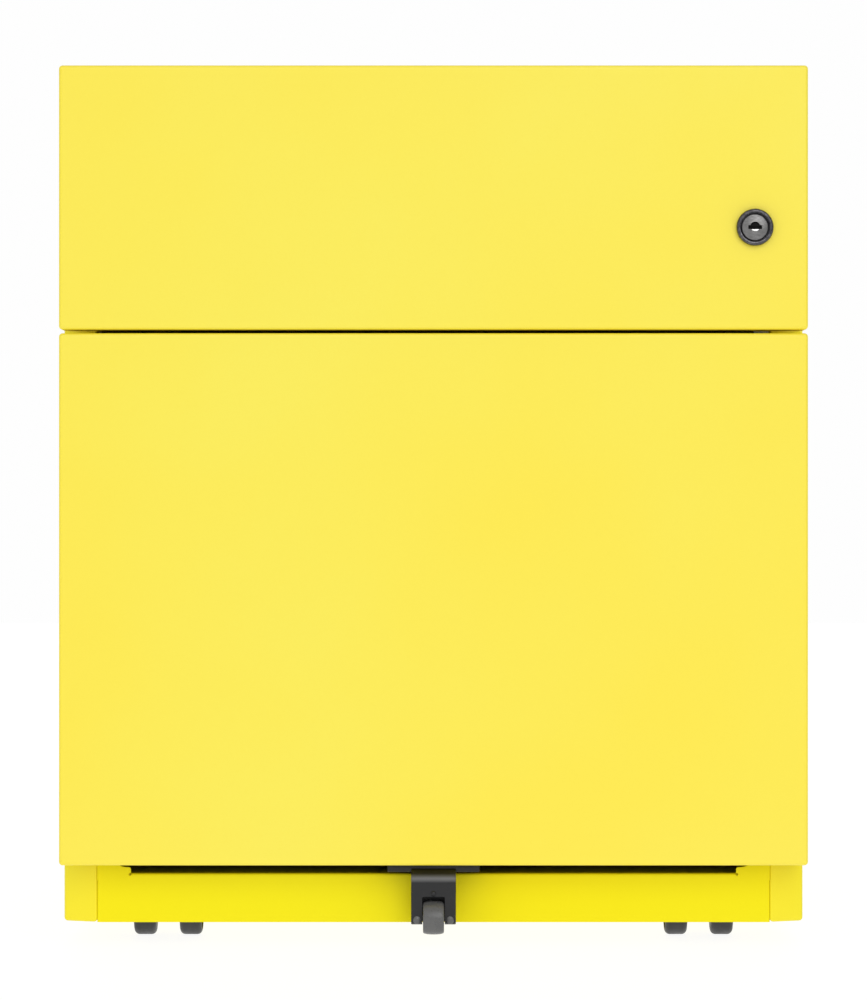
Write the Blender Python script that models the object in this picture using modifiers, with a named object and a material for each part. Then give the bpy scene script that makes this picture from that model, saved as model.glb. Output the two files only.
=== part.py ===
"""A two-drawer mobile pedestal on castors, in metres, with +Z up.

X runs across the pedestal, the drawers open towards -Y, and Z = 0 is the floor.
Every moving body has an empty on its joint's axis, and its pieces are parented to it.
"""
import math

import bmesh
import bpy
from mathutils import Matrix, Vector

# Overall size
WIDTH = 0.420
HEIGHT = 0.495
FACE_Y = -0.2805            # front faces of the drawers
BACK_Y = 0.2845             # outside of the back panel
HALF = WIDTH / 2
GAP = 0.0003                # clearance between pieces that touch
SKIM = 0.0001               # overlap or offset that keeps joined solids' faces apart
SHEET = 0.0012              # carcass sheet
THIN = 0.0010               # drawer sheet

# Drawer fronts
FRONT_DEPTH = 0.024
FRONT_RADIUS = 0.002
FRONT_BACK = FACE_Y + FRONT_DEPTH
FRONT_SPLIT = 0.0020        # gap between the two fronts
FILING_LOW = 0.0464
FILING_HIGH = 0.3448
STATIONERY_LOW = FILING_HIGH + FRONT_SPLIT
LINER_FLANGE = 0.010

# Carcass
CARCASS_FRONT = -0.2525     # front plane of the plinth rail
CARCASS_LOW = 0.0120        # lower edge of the plinth
GRIP_WIDTH = 0.019          # slanted front edge of each side panel, the finger grip
GRIP_DEPTH = 0.008
GRIP_X = HALF - GRIP_WIDTH
GRIP_RETURN = 0.016         # depth of the edge folded back behind the slant
FLANGE_FRONT = -0.2315      # front end of each side panel's bottom flange
PAN_TOP = 0.0397            # top of the base pan and of the plinth rail's middle
PAN_BACK = 0.272
BACK_FLANGE = 0.012
EAR_X = 0.1715              # inner end of each ear of the plinth rail
EAR_STEP = 0.0432
EAR_HIGH = 0.058
EAR_SHOULDER = 0.012        # from an ear's inner end to its full height
EAR_CURVE = ((0.010, 0.0022), (0.006, 0.0005))    # points of its curved step
LIP_LOW = 0.478             # lower edge of the top panel's front lip
TOP_FRONT = -0.2545
UPRIGHT_X = 0.189           # inner faces of the uprights, which carry the slides
UPRIGHT_WIDTH = 0.030
UPRIGHT_FRONT_Y = -0.2315
UPRIGHT_REAR_Y = 0.180

# Slides
SLIDE_FRONT = -0.2315
SLIDE_LENGTH = 0.450
SLIDE_X = UPRIGHT_X - GAP   # outer face of the outer members
STATIONERY_SLIDE_Z = 0.3755
FILING_SLIDE_Z = 0.140
FILING_MIDDLE_X = 0.1857    # outer face of the middle members
STATIONERY_OUTER = (0.1785, 0.0175)    # x of the lips' edges and half height
STATIONERY_INNER = (0.1823, 0.0120)
FILING_OUTER = (0.1810, 0.0225)
FILING_MIDDLE = (0.1785, 0.0190)
FILING_INNER = (0.1835, 0.0153)

# Drawer bodies
TRAY_X = 0.176
TRAY_FRONT = FRONT_BACK + GAP
STATIONERY_FLOOR = 0.352
STATIONERY_WALL = 0.448
STATIONERY_DEPTH = 0.436
FILING_FLOOR = 0.047
FILING_WALL = 0.300
FILING_DEPTH = 0.488
RAIL_X = 0.170              # outer face of the hanging-file rails
RAIL_THICK = 0.0025
RAIL_LOW = 0.292
RAIL_HIGH = 0.306

# Lock
LOCK_X = 0.180
LOCK_Z = 0.404
BARREL_RADIUS = 0.0085
LOCK_PROUD = 0.004
LOCK_BORE = BARREL_RADIUS + GAP
FLANGE_RADIUS = 0.0104
FLANGE_CHAMFER = 0.0008
FACE_SEAT = 0.0027          # depth of the seat for the plug's face
BARREL_SHORT = 0.0009       # from the barrel's end to the cam
PLUG_FACE_RADIUS = 0.0079
PLUG_RADIUS = 0.0060
PLUG_SUNK = 0.0003          # the plug's face behind the housing's rim
PLUG_EDGE = 0.0004
PLUG_HEAD = 0.0023          # depth of the plug's wide end behind the rim
KEY_RECESS_RADIUS = 0.00325
KEY_RECESS_DEPTH = 0.001
KEYWAY = (0.0077, 0.0022, 0.014)    # width, height and depth
NUT_RADIUS = 0.0125         # to the corners
NUT_THICK = 0.003
CAM_FRONT = -0.2487
CAM_THICK = 0.002
CAM_RADIUS = 0.008
PIN_ARM = 0.005             # from the plug's axis to the cam's pin
PIN_RADIUS = 0.0015
PIN_ANGLE = math.radians(-45)
PIN_PAST_BAR = 0.0005
PIN_SLOT_X = (0.1835, 0.1850)    # ends of the bar's slot for the pin
BAR_X = (0.1836, 0.1891)
BAR_Y = -0.243
BAR_THICK = 0.002
BAR_LOW = 0.280
BAR_HIGH = 0.424
LUG_X = 0.1795
LUG_HALF = 0.0052
HOOK_X = (0.178, 0.182, 0.1864)     # arm's inner and outer sides, head's outer side
HOOK_BACK = -0.2385
HOOK_HEAD = 0.0025
HOOK_HEIGHT = 0.0035
HOOK_FOOT_HALF = 0.008
HOOK_FOOT_THICK = 0.0015
HOOK_FOOT_EDGES = (0.0005, 0.005)    # how far the foot passes the arm, inside and outside
STATIONERY_HOOK_Z = 0.366
FILING_HOOK_Z = 0.290
NOTCH_X = 0.1868
NOTCH_HEIGHT = 0.0045
GUIDE_Z = (0.300, 0.350)
LOCK_NOTCH_WIDTH = 0.006    # the tray's corner cut away around the lock
LOCK_NOTCH_DEPTH = 0.026
LOCK_NOTCH_DROP = 0.014     # below the lock's axis

# Stabiliser under the filing drawer's front
BRACKET_THICK = 0.0022
BRACKET_TOP = 0.0461
BRACKET_FACE = -0.2745
BRACKET_HALF = 0.0126
BRACKET_LEG_TOP = 0.0441    # top of the strap under the mounting plate
BRACKET_PLATE_HALF = 0.026
BRACKET_PLATE_SETBACK = 0.006
BRACKET_BACK = -0.215
BRACKET_BEND = 0.008
STABILISER_Z = 0.0163
STABILISER_WHEEL_RADIUS = 0.00945
STABILISER_WHEEL_HALF = 0.00595
STABILISER_CORNER = 0.0012
STABILISER_AXLE_RADIUS = 0.0018
KNUCKLE_RADIUS = 0.0038
SLOT_HALF = 0.00635
SLOT_LOW = 0.004
SLOT_TOP = 0.0284
SLOT_REACH = (0.010, 0.014)    # in front of and behind the bracket's face

# Castors
CASTOR_X = 0.1532
CASTOR_FRONT_Y = -0.2125
CASTOR_REAR_Y = 0.228
CASTOR_TRAIL = 0.012
CASTOR_RADIUS = 0.015
CASTOR_WHEEL_WIDTH = 0.0128
CASTOR_SHOULDER = 0.003
CASTOR_SPACE = 0.0136       # between the two wheels
CASTOR_AXLE_RADIUS = 0.0025
CASTOR_PLATE = 0.042
CASTOR_PLATE_THICK = 0.002
STEM_RADIUS = 0.004
STEM_LOW = 0.0290
NECK_RADIUS = 0.0058
NECK_DROP = 0.0080          # the neck's lower end above the axle
COLLAR_RADIUS = 0.0085
COLLAR_LIFT = 0.0006        # the collar's lower end above the fender's inside
HOOD_CLEAR = 0.0009         # between the wheels and the fender
HOOD_SKIN = 0.0015
HOOD_ARC = (22, 165)        # the fender's ends, in degrees from the back
HUB_RADIUS = 0.0075
HUB_CLEAR = 0.0008          # between the hub and each wheel
WEB_Y = (-0.0135, 0.0092)   # the web's reach from the axle
WEB_LOW = -0.0010
WEB_DROP = 0.0040           # the web's top below the fender's inside
CROWN_Y = (-0.0105, 0.0040)
CROWN_LOW = 0.0050
FENDER_SHORT = 0.0002       # each side of the fender inside the wheels' outer faces
AXLE_SHORT = 0.0006
LONG_BORE = 0.030           # a cutter long enough to pass through

ROUND_STEPS = 32
WHEEL_STEPS = 24

# Finishes: base colour, roughness and metallic value
YELLOW = ((0.960, 0.830, 0.100, 1), 0.45, 0.0)
DARK_SHEET = ((0.030, 0.030, 0.034, 1), 0.50, 0.0)
ZINC = ((0.600, 0.610, 0.620, 1), 0.35, 1.0)
DARK_METAL = ((0.080, 0.080, 0.085, 1), 0.40, 0.6)
CHROME = ((0.450, 0.450, 0.460, 1), 0.25, 1.0)
NYLON = ((0.055, 0.055, 0.055, 1), 0.50, 0.0)
GREY_NYLON = ((0.140, 0.140, 0.140, 1), 0.45, 0.0)

ALONG_X = (0, math.radians(90), 0)      # turns a piece's own Z onto +X
TOWARDS_FRONT = (math.radians(90), 0, 0)    # turns a piece's own Z onto -Y


def clear_scene():
    """Remove whatever the file opened with."""
    for old in list(bpy.data.objects):
        bpy.data.objects.remove(old, do_unlink=True)


def new_collection(name):
    collection = bpy.data.collections.new(name)
    bpy.context.scene.collection.children.link(collection)
    return collection


def new_object(name, data):
    """An object in the pedestal's collection."""
    piece = bpy.data.objects.new(name, data)
    bpy.data.collections["mobile_pedestal"].objects.link(piece)
    return piece


def body(name, place):
    """An empty on a joint's axis, which carries the pieces that move together."""
    axis = new_object(name, None)
    axis.location = place
    axis.empty_display_size = 0.03
    return axis


def finish(piece, look, parent=None):
    """Give a piece its own material and hang it on its body, where it already stands."""
    colour, roughness, metallic = look
    paint = bpy.data.materials.new(piece.name + "_finish")
    paint.use_nodes = True
    shader = paint.node_tree.nodes["Principled BSDF"]
    shader.inputs["Base Color"].default_value = colour
    shader.inputs["Roughness"].default_value = roughness
    shader.inputs["Metallic"].default_value = metallic
    paint.diffuse_color = colour
    piece.data.materials.clear()
    piece.data.materials.append(paint)
    if parent:
        piece.parent = parent
        piece.location = piece.location - parent.location
    return piece


def box(name, low, high):
    """A box between two corners, with its origin at its centre."""
    size = [b - a for a, b in zip(low, high)]
    form = bmesh.new()
    bmesh.ops.create_cube(form, size=1.0)
    bmesh.ops.scale(form, vec=size, verts=form.verts)
    mesh = bpy.data.meshes.new(name)
    form.to_mesh(mesh)
    form.free()
    piece = new_object(name, mesh)
    piece.location = [(a + b) / 2 for a, b in zip(low, high)]
    return piece


def shell(name, low, high, open_sides, thickness, radius=0.0):
    """A sheet box between two outer corners, without the faces that point along open_sides."""
    piece = box(name, low, high)
    form = bmesh.new()
    form.from_mesh(piece.data)
    doomed = [face for face in form.faces
              if any(face.normal.dot(Vector(side)) > 0.9 for side in open_sides)]
    bmesh.ops.delete(form, geom=doomed, context="FACES")
    form.to_mesh(piece.data)
    form.free()
    if radius:
        round_edges(piece, radius)
    skin = piece.modifiers.new("Sheet", "SOLIDIFY")
    skin.thickness = thickness
    skin.offset = -1
    skin.use_even_offset = True
    return piece


def round_edges(piece, radius, segments=3):
    rounding = piece.modifiers.new("Rounding", "BEVEL")
    rounding.width = radius
    rounding.segments = segments
    rounding.limit_method = "ANGLE"
    return rounding


def folded(name, outline, axis, start, end, thickness, offset=-1):
    """A folded sheet: an open outline across an axis, drawn out along it and given a thickness.

    The outline's coordinates are (y, z) across X, (x, z) across Y and (x, y) across Z.
    """
    order = {"X": (2, 0, 1), "Y": (0, 2, 1), "Z": (0, 1, 2)}[axis]
    form = bmesh.new()
    rows = []
    for level in (start, end):
        row = []
        for first, second in outline:
            values = (first, second, level)
            row.append(form.verts.new([values[i] for i in order]))
        rows.append(row)
    for index in range(len(outline) - 1):
        form.faces.new((rows[0][index], rows[0][index + 1], rows[1][index + 1], rows[1][index]))
    mesh = bpy.data.meshes.new(name)
    form.to_mesh(mesh)
    form.free()
    piece = new_object(name, mesh)
    centre_origin(piece)
    skin = piece.modifiers.new("Sheet", "SOLIDIFY")
    skin.thickness = thickness
    skin.offset = offset
    skin.use_even_offset = True
    return piece


def centre_origin(piece):
    """Put the origin at the middle of the mesh without moving the shape."""
    middle = sum((Vector(corner) for corner in piece.bound_box), Vector()) / 8
    piece.data.transform(Matrix.Translation(-middle))
    piece.location = piece.location + middle


def mirrored(outline):
    """The same outline on the other side of the pedestal, for outlines that hold x first."""
    return [(-x, other) for x, other in outline]


def plate(name, outlines, thickness, place, rotation=TOWARDS_FRONT):
    """A flat plate from closed outlines, the later ones being holes in the first."""
    curve = bpy.data.curves.new(name, "CURVE")
    curve.dimensions = "2D"
    curve.fill_mode = "BOTH"
    curve.extrude = thickness / 2
    for outline in outlines:
        spline = curve.splines.new("POLY")
        spline.points.add(len(outline) - 1)
        for point, (x, y) in zip(spline.points, outline):
            point.co = (x, y, 0, 1)
        spline.use_cyclic_u = True
    piece = new_object(name, curve)
    piece.location = place
    piece.rotation_euler = rotation
    return piece


def as_mesh(piece):
    """A plate as a mesh, so that it can be cut or joined."""
    bpy.context.view_layer.update()
    seen = piece.evaluated_get(bpy.context.evaluated_depsgraph_get())
    mesh = bpy.data.meshes.new_from_object(seen)
    form = bmesh.new()
    form.from_mesh(mesh)
    bmesh.ops.remove_doubles(form, verts=form.verts, dist=1e-6)
    form.to_mesh(mesh)
    form.free()
    name = piece.name
    matrix = piece.matrix_world.copy()
    bpy.data.objects.remove(piece, do_unlink=True)
    made = new_object(name, mesh)
    made.matrix_world = matrix
    return made


def turned(name, profile, place, rotation=(0, 0, 0), steps=ROUND_STEPS, ring=False):
    """A turned piece from (radius, height) points that run down its outer side.

    A ring's profile closes on itself, and a solid's profile starts and ends on the axis.
    """
    form = bmesh.new()
    corners = [form.verts.new((radius, 0, height)) for radius, height in profile]
    for first, second in zip(corners, corners[1:]):
        form.edges.new((first, second))
    if ring:
        form.edges.new((corners[-1], corners[0]))
    mesh = bpy.data.meshes.new(name)
    form.to_mesh(mesh)
    form.free()
    piece = new_object(name, mesh)
    piece.location = place
    piece.rotation_euler = rotation
    screw = piece.modifiers.new("Turned", "SCREW")
    screw.steps = steps
    screw.render_steps = steps
    screw.use_merge_vertices = True
    screw.merge_threshold = 0.00001
    screw.use_smooth_shade = True
    return piece


def rod(name, radius, length, place, rotation=(0, 0, 0), steps=ROUND_STEPS):
    """A cylinder centred on a place."""
    form = bmesh.new()
    bmesh.ops.create_cone(form, cap_ends=True, segments=steps, radius1=radius, radius2=radius,
                          depth=length)
    mesh = bpy.data.meshes.new(name)
    form.to_mesh(mesh)
    form.free()
    piece = new_object(name, mesh)
    piece.location = place
    piece.rotation_euler = rotation
    mesh.shade_smooth()
    mesh.set_sharp_from_angle(angle=math.radians(35))
    return piece


def boolean(piece, tool, operation):
    """Cut a piece with a tool, or join the tool's shape to it."""
    step = piece.modifiers.new(operation.title(), "BOOLEAN")
    step.operation = operation
    step.solver = "EXACT"
    step.object = tool
    tool.hide_render = True
    tool.display_type = "WIRE"
    bpy.data.collections["mobile_pedestal"].objects.unlink(tool)
    bpy.data.collections["cutters"].objects.link(tool)
    return piece


def cut(piece, *tools):
    for tool in tools:
        boolean(piece, tool, "DIFFERENCE")
    return piece


def join(piece, *tools):
    for tool in tools:
        boolean(piece, tool, "UNION")
    return piece


def arc(centre, radius, start, end, steps):
    """Points along an arc, with its angles in degrees."""
    points = []
    for step in range(steps + 1):
        angle = math.radians(start + (end - start) * step / steps)
        points.append((centre[0] + radius * math.cos(angle), centre[1] + radius * math.sin(angle)))
    return points


SIDES = {"left": -1, "right": 1}


def side_panels():
    """The two outer sides, each folded into a finger grip at the front."""
    for side, sign in SIDES.items():
        outline = [(HALF, BACK_Y),
                   (HALF, CARCASS_FRONT + GRIP_DEPTH),
                   (GRIP_X, CARCASS_FRONT),
                   (GRIP_X, CARCASS_FRONT + GRIP_RETURN)]
        top = HEIGHT - SHEET - GAP
        if sign < 0:
            outline = mirrored(outline)
        panel = folded("side_panel_" + side, outline, "Z", CARCASS_LOW, top, SHEET, offset=sign)
        overlap = SHEET / 2
        edges = sorted((sign * (GRIP_X + GAP), sign * (HALF - overlap)))
        flange = box("bottom_flange_" + side,
                     (edges[0], FLANGE_FRONT, CARCASS_LOW + GAP),
                     (edges[1], PAN_BACK, CARCASS_LOW + GAP + SHEET))
        finish(join(panel, flange), YELLOW)


def top_panel():
    """The flat top, with a lip turned down in front between the finger grips."""
    panel = box("top_panel", (-HALF, TOP_FRONT, HEIGHT - SHEET), (HALF, BACK_Y, HEIGHT))
    lip = box("top_lip", (-GRIP_X + GAP, TOP_FRONT + GAP, LIP_LOW),
              (GRIP_X - GAP, TOP_FRONT + GAP + SHEET, HEIGHT - SHEET / 2))
    finish(join(panel, lip), YELLOW)


def back_panel():
    """The back, a shallow pan that sits between the sides."""
    edge = HALF - SHEET - GAP
    panel = shell("back_panel", (-edge, BACK_Y - BACK_FLANGE, CARCASS_LOW + 2 * GAP + SHEET),
                  (edge, BACK_Y, HEIGHT - SHEET - GAP), [(0, -1, 0)], THIN)
    finish(panel, YELLOW)


def base_pan():
    """The floor of the carcass, folded down all round, with the plinth rail in front."""
    edge = GRIP_X - GAP
    pan = shell("base_pan", (-edge, CARCASS_FRONT, CARCASS_LOW), (edge, PAN_BACK - GAP, PAN_TOP),
                [(0, 0, -1)], SHEET)
    middle = CARCASS_FRONT + SHEET / 2
    for side, sign in SIDES.items():
        outline = [(EAR_X, CARCASS_LOW + SHEET),
                   (edge, CARCASS_LOW + SHEET),
                   (edge, EAR_HIGH),
                   (EAR_X + EAR_SHOULDER, EAR_HIGH)]
        outline += [(EAR_X + along, EAR_STEP + rise) for along, rise in EAR_CURVE]
        outline.append((EAR_X, EAR_STEP))
        if sign < 0:
            outline = mirrored(outline)
        ear = as_mesh(plate("plinth_ear_" + side, [outline], SHEET, (0, middle, 0)))
        join(pan, ear)
    finish(pan, YELLOW)


def uprights():
    """Channels inside each side, front and rear, that the slides are fixed to."""
    for side, sign in SIDES.items():
        for place, front in (("front", UPRIGHT_FRONT_Y), ("rear", UPRIGHT_REAR_Y)):
            outer = HALF - SHEET - GAP
            outline = [(outer, front),
                       (UPRIGHT_X, front),
                       (UPRIGHT_X, front + UPRIGHT_WIDTH),
                       (outer, front + UPRIGHT_WIDTH)]
            if sign < 0:
                outline = mirrored(outline)
            channel = folded("upright_{}_{}".format(place, side), outline, "Z",
                             PAN_TOP + GAP, HEIGHT - SHEET - GAP, SHEET, offset=sign)
            finish(channel, ZINC)


def channel(name, sign, web_x, section, z, parent=None):
    """One member of a slide: a channel whose lips run from its web to the section's edge."""
    lip_x, half_height = section
    outline = [(lip_x, z + half_height),
               (web_x, z + half_height),
               (web_x, z - half_height),
               (lip_x, z - half_height)]
    if sign < 0:
        outline = mirrored(outline)
    inward = -sign if web_x > lip_x else sign
    member = folded(name, outline, "Y", SLIDE_FRONT, SLIDE_FRONT + SLIDE_LENGTH, SHEET,
                    offset=inward)
    return finish(member, ZINC, parent)


def slides(stationery, filing, filing_middle):
    """Two-member slides for the shallow drawer and three-member slides for the deep one."""
    inner_x = TRAY_X + GAP
    for side, sign in SIDES.items():
        channel("stationery_slide_outer_" + side, sign, SLIDE_X, STATIONERY_OUTER,
                STATIONERY_SLIDE_Z)
        channel("stationery_slide_inner_" + side, sign, inner_x, STATIONERY_INNER,
                STATIONERY_SLIDE_Z, stationery)
        channel("filing_slide_outer_" + side, sign, SLIDE_X, FILING_OUTER, FILING_SLIDE_Z)
        channel("filing_slide_middle_" + side, sign, FILING_MIDDLE_X, FILING_MIDDLE,
                FILING_SLIDE_Z, filing_middle)
        channel("filing_slide_inner_" + side, sign, inner_x, FILING_INNER, FILING_SLIDE_Z,
                filing)


def drawer_front(name, low, high, parent):
    """The outer skin of a front: a pan with rounded edges, open behind."""
    skin = shell(name, (-HALF, FACE_Y, low), (HALF, FRONT_BACK, high), [(0, 1, 0)], SHEET,
                 FRONT_RADIUS)
    return finish(skin, YELLOW, parent)


def drawer_liner(name, low, high, parent):
    """The inner skin of a front: a smaller pan, open towards the outer one."""
    inset = SHEET + GAP
    skin = shell(name, (-HALF + inset, FRONT_BACK - LINER_FLANGE, low + inset),
                 (HALF - inset, FRONT_BACK, high - inset), [(0, -1, 0)], THIN)
    return finish(skin, YELLOW, parent)


def drawer_tray(name, floor, wall, depth, parent):
    """The floor and both sides of a drawer, folded from one sheet."""
    outline = [(-TRAY_X, wall), (-TRAY_X, floor), (TRAY_X, floor), (TRAY_X, wall)]
    tray = folded(name, outline, "Y", TRAY_FRONT, TRAY_FRONT + depth, THIN, offset=1)
    return finish(tray, DARK_SHEET, parent)


def drawer_back(name, floor, wall, depth, parent):
    """The rear wall of a drawer, inside the tray, with a flange folded forward all round."""
    inset = THIN + GAP
    rear = TRAY_FRONT + depth - GAP
    wall_pan = shell(name, (-TRAY_X + inset, rear - LINER_FLANGE, floor + inset),
                     (TRAY_X - inset, rear, wall), [(0, -1, 0), (0, 0, 1)], THIN)
    return finish(wall_pan, DARK_SHEET, parent)


def stationery_drawer(parent):
    front = drawer_front("stationery_front", STATIONERY_LOW, HEIGHT, parent)
    liner = drawer_liner("stationery_liner", STATIONERY_LOW, HEIGHT, parent)
    hole = rod("lock_hole", LOCK_BORE, LONG_BORE, (LOCK_X, FACE_Y, LOCK_Z), TOWARDS_FRONT)
    cut(front, hole)
    hole_behind = rod("liner_lock_hole", LOCK_BORE, LONG_BORE, (LOCK_X, FRONT_BACK, LOCK_Z),
                      TOWARDS_FRONT)
    cut(liner, hole_behind)
    tray = drawer_tray("stationery_tray", STATIONERY_FLOOR, STATIONERY_WALL, STATIONERY_DEPTH,
                       parent)
    notch = box("lock_notch",
                (TRAY_X - LOCK_NOTCH_WIDTH, FRONT_BACK - SHEET, LOCK_Z - LOCK_NOTCH_DROP),
                (TRAY_X + SHEET, TRAY_FRONT + LOCK_NOTCH_DEPTH, STATIONERY_WALL + SHEET))
    cut(tray, notch)
    drawer_back("stationery_back", STATIONERY_FLOOR, STATIONERY_WALL, STATIONERY_DEPTH, parent)


def filing_drawer(parent):
    drawer_front("filing_front", FILING_LOW, FILING_HIGH, parent)
    drawer_liner("filing_liner", FILING_LOW, FILING_HIGH, parent)
    drawer_tray("filing_tray", FILING_FLOOR, FILING_WALL, FILING_DEPTH, parent)
    drawer_back("filing_back", FILING_FLOOR, FILING_WALL, FILING_DEPTH, parent)
    rail_end = TRAY_FRONT + FILING_DEPTH - LINER_FLANGE - 2 * GAP
    for side, sign in SIDES.items():
        edges = sorted((sign * RAIL_X, sign * (RAIL_X - RAIL_THICK)))
        rail = box("file_rail_" + side, (edges[0], TRAY_FRONT, RAIL_LOW),
                   (edges[1], rail_end, RAIL_HIGH))
        finish(rail, ZINC, parent)


def lock_housing(parent):
    """The lock's flanged barrel, which clamps both skins of the stationery front."""
    flange_back = FACE_Y - GAP
    barrel_end = CAM_FRONT - BARREL_SHORT
    profile = [(PLUG_FACE_RADIUS + GAP, LOCK_PROUD),
               (FLANGE_RADIUS - FLANGE_CHAMFER, LOCK_PROUD),
               (FLANGE_RADIUS, LOCK_PROUD - FLANGE_CHAMFER),
               (FLANGE_RADIUS, FACE_Y - flange_back),
               (BARREL_RADIUS, FACE_Y - flange_back),
               (BARREL_RADIUS, FACE_Y - barrel_end),
               (PLUG_RADIUS + GAP, FACE_Y - barrel_end),
               (PLUG_RADIUS + GAP, LOCK_PROUD - FACE_SEAT),
               (PLUG_FACE_RADIUS + GAP, LOCK_PROUD - FACE_SEAT)]
    housing = turned("lock_housing", profile, (LOCK_X, FACE_Y, LOCK_Z), TOWARDS_FRONT, ring=True)
    finish(housing, DARK_METAL, parent)
    nut = rod("lock_nut", NUT_RADIUS, NUT_THICK,
              (LOCK_X, FRONT_BACK + GAP + NUT_THICK / 2, LOCK_Z), TOWARDS_FRONT, steps=6)
    bore = rod("nut_bore", LOCK_BORE, LONG_BORE, (LOCK_X, FRONT_BACK, LOCK_Z), TOWARDS_FRONT)
    finish(cut(nut, bore), ZINC, parent)


def lock_plug(parent):
    """The part that the key turns, and the cam with its pin on the inner end."""
    plug_end = CAM_FRONT - GAP
    face = LOCK_PROUD - PLUG_SUNK
    head_back = LOCK_PROUD - PLUG_HEAD
    profile = [(0, face),
               (PLUG_FACE_RADIUS - PLUG_EDGE, face),
               (PLUG_FACE_RADIUS, face - PLUG_EDGE),
               (PLUG_FACE_RADIUS, head_back),
               (PLUG_RADIUS, head_back),
               (PLUG_RADIUS, FACE_Y - plug_end),
               (0, FACE_Y - plug_end)]
    plug = turned("lock_plug", profile, (LOCK_X, FACE_Y, LOCK_Z), TOWARDS_FRONT)
    recess = rod("key_recess", KEY_RECESS_RADIUS, 2 * KEY_RECESS_DEPTH,
                 (LOCK_X, FACE_Y - LOCK_PROUD, LOCK_Z), TOWARDS_FRONT)
    width, height, depth = KEYWAY
    keyway = box("keyway", (LOCK_X - width / 2, FACE_Y - 2 * LOCK_PROUD, LOCK_Z - height / 2),
                 (LOCK_X + width / 2, FACE_Y - LOCK_PROUD + depth, LOCK_Z + height / 2))
    finish(cut(plug, recess, keyway), CHROME, parent)
    cam = rod("lock_cam", CAM_RADIUS, CAM_THICK, (LOCK_X, CAM_FRONT + CAM_THICK / 2, LOCK_Z),
              TOWARDS_FRONT)
    pin_back = BAR_Y + BAR_THICK / 2 + PIN_PAST_BAR
    pin_front = CAM_FRONT + CAM_THICK / 2
    pin = rod("cam_pin", PIN_RADIUS, pin_back - pin_front,
              (LOCK_X + PIN_ARM * math.cos(PIN_ANGLE), (pin_back + pin_front) / 2,
               LOCK_Z + PIN_ARM * math.sin(PIN_ANGLE)), TOWARDS_FRONT, steps=16)
    finish(join(cam, pin), ZINC, parent)


def lock_bar(parent):
    """The bar that the cam lifts, with a notch for each drawer's hook and a slot for the pin."""
    inner, outer = BAR_X
    pin_z = LOCK_Z + PIN_ARM * math.sin(PIN_ANGLE)
    outline = [(outer, BAR_LOW), (outer, BAR_HIGH), (inner, BAR_HIGH),
               (inner, pin_z + LUG_HALF), (LUG_X, pin_z + LUG_HALF),
               (LUG_X, pin_z - LUG_HALF), (inner, pin_z - LUG_HALF)]
    for hook_z in (STATIONERY_HOOK_Z, FILING_HOOK_Z):
        top = hook_z + NOTCH_HEIGHT / 2
        low = hook_z - NOTCH_HEIGHT / 2
        outline += [(inner, top), (NOTCH_X, top), (NOTCH_X, low), (inner, low)]
    outline.append((inner, BAR_LOW))
    slot_end = PIN_RADIUS + GAP
    slot_inner, slot_outer = PIN_SLOT_X
    slot = arc((slot_outer, pin_z), slot_end, -90, 90, 6)
    slot += arc((slot_inner, pin_z), slot_end, 90, 270, 6)
    bar = plate("lock_bar", [outline, slot], BAR_THICK, (0, BAR_Y, 0))
    finish(bar, ZINC, parent)


def lock_bar_guide():
    """A sleeve on the right side's folded edge that the bar slides in."""
    inner, outer = BAR_X
    room = GAP + SHEET
    guide = shell("lock_bar_guide", (inner - room, BAR_Y - BAR_THICK / 2 - room, GUIDE_Z[0]),
                  (outer + room, BAR_Y + BAR_THICK / 2 + room, GUIDE_Z[1]),
                  [(0, 0, 1), (0, 0, -1)], SHEET)
    finish(guide, ZINC)


def lock_hook(name, z, parent):
    """A hook on a drawer's inner skin, whose head passes the bar only through its notch."""
    inner, arm, head = HOOK_X
    start = FRONT_BACK + GAP
    outline = [(inner, start), (arm, start), (arm, HOOK_BACK - HOOK_HEAD),
               (head, HOOK_BACK - HOOK_HEAD), (head, HOOK_BACK), (inner, HOOK_BACK)]
    hook = as_mesh(plate(name, [outline], HOOK_HEIGHT, (0, 0, z), (0, 0, 0)))
    inside, outside = HOOK_FOOT_EDGES
    foot = box(name + "_foot", (inner - inside, start, z - HOOK_FOOT_HALF),
               (arm + outside, start + HOOK_FOOT_THICK, z + HOOK_FOOT_HALF))
    finish(join(hook, foot), ZINC, parent)


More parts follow.
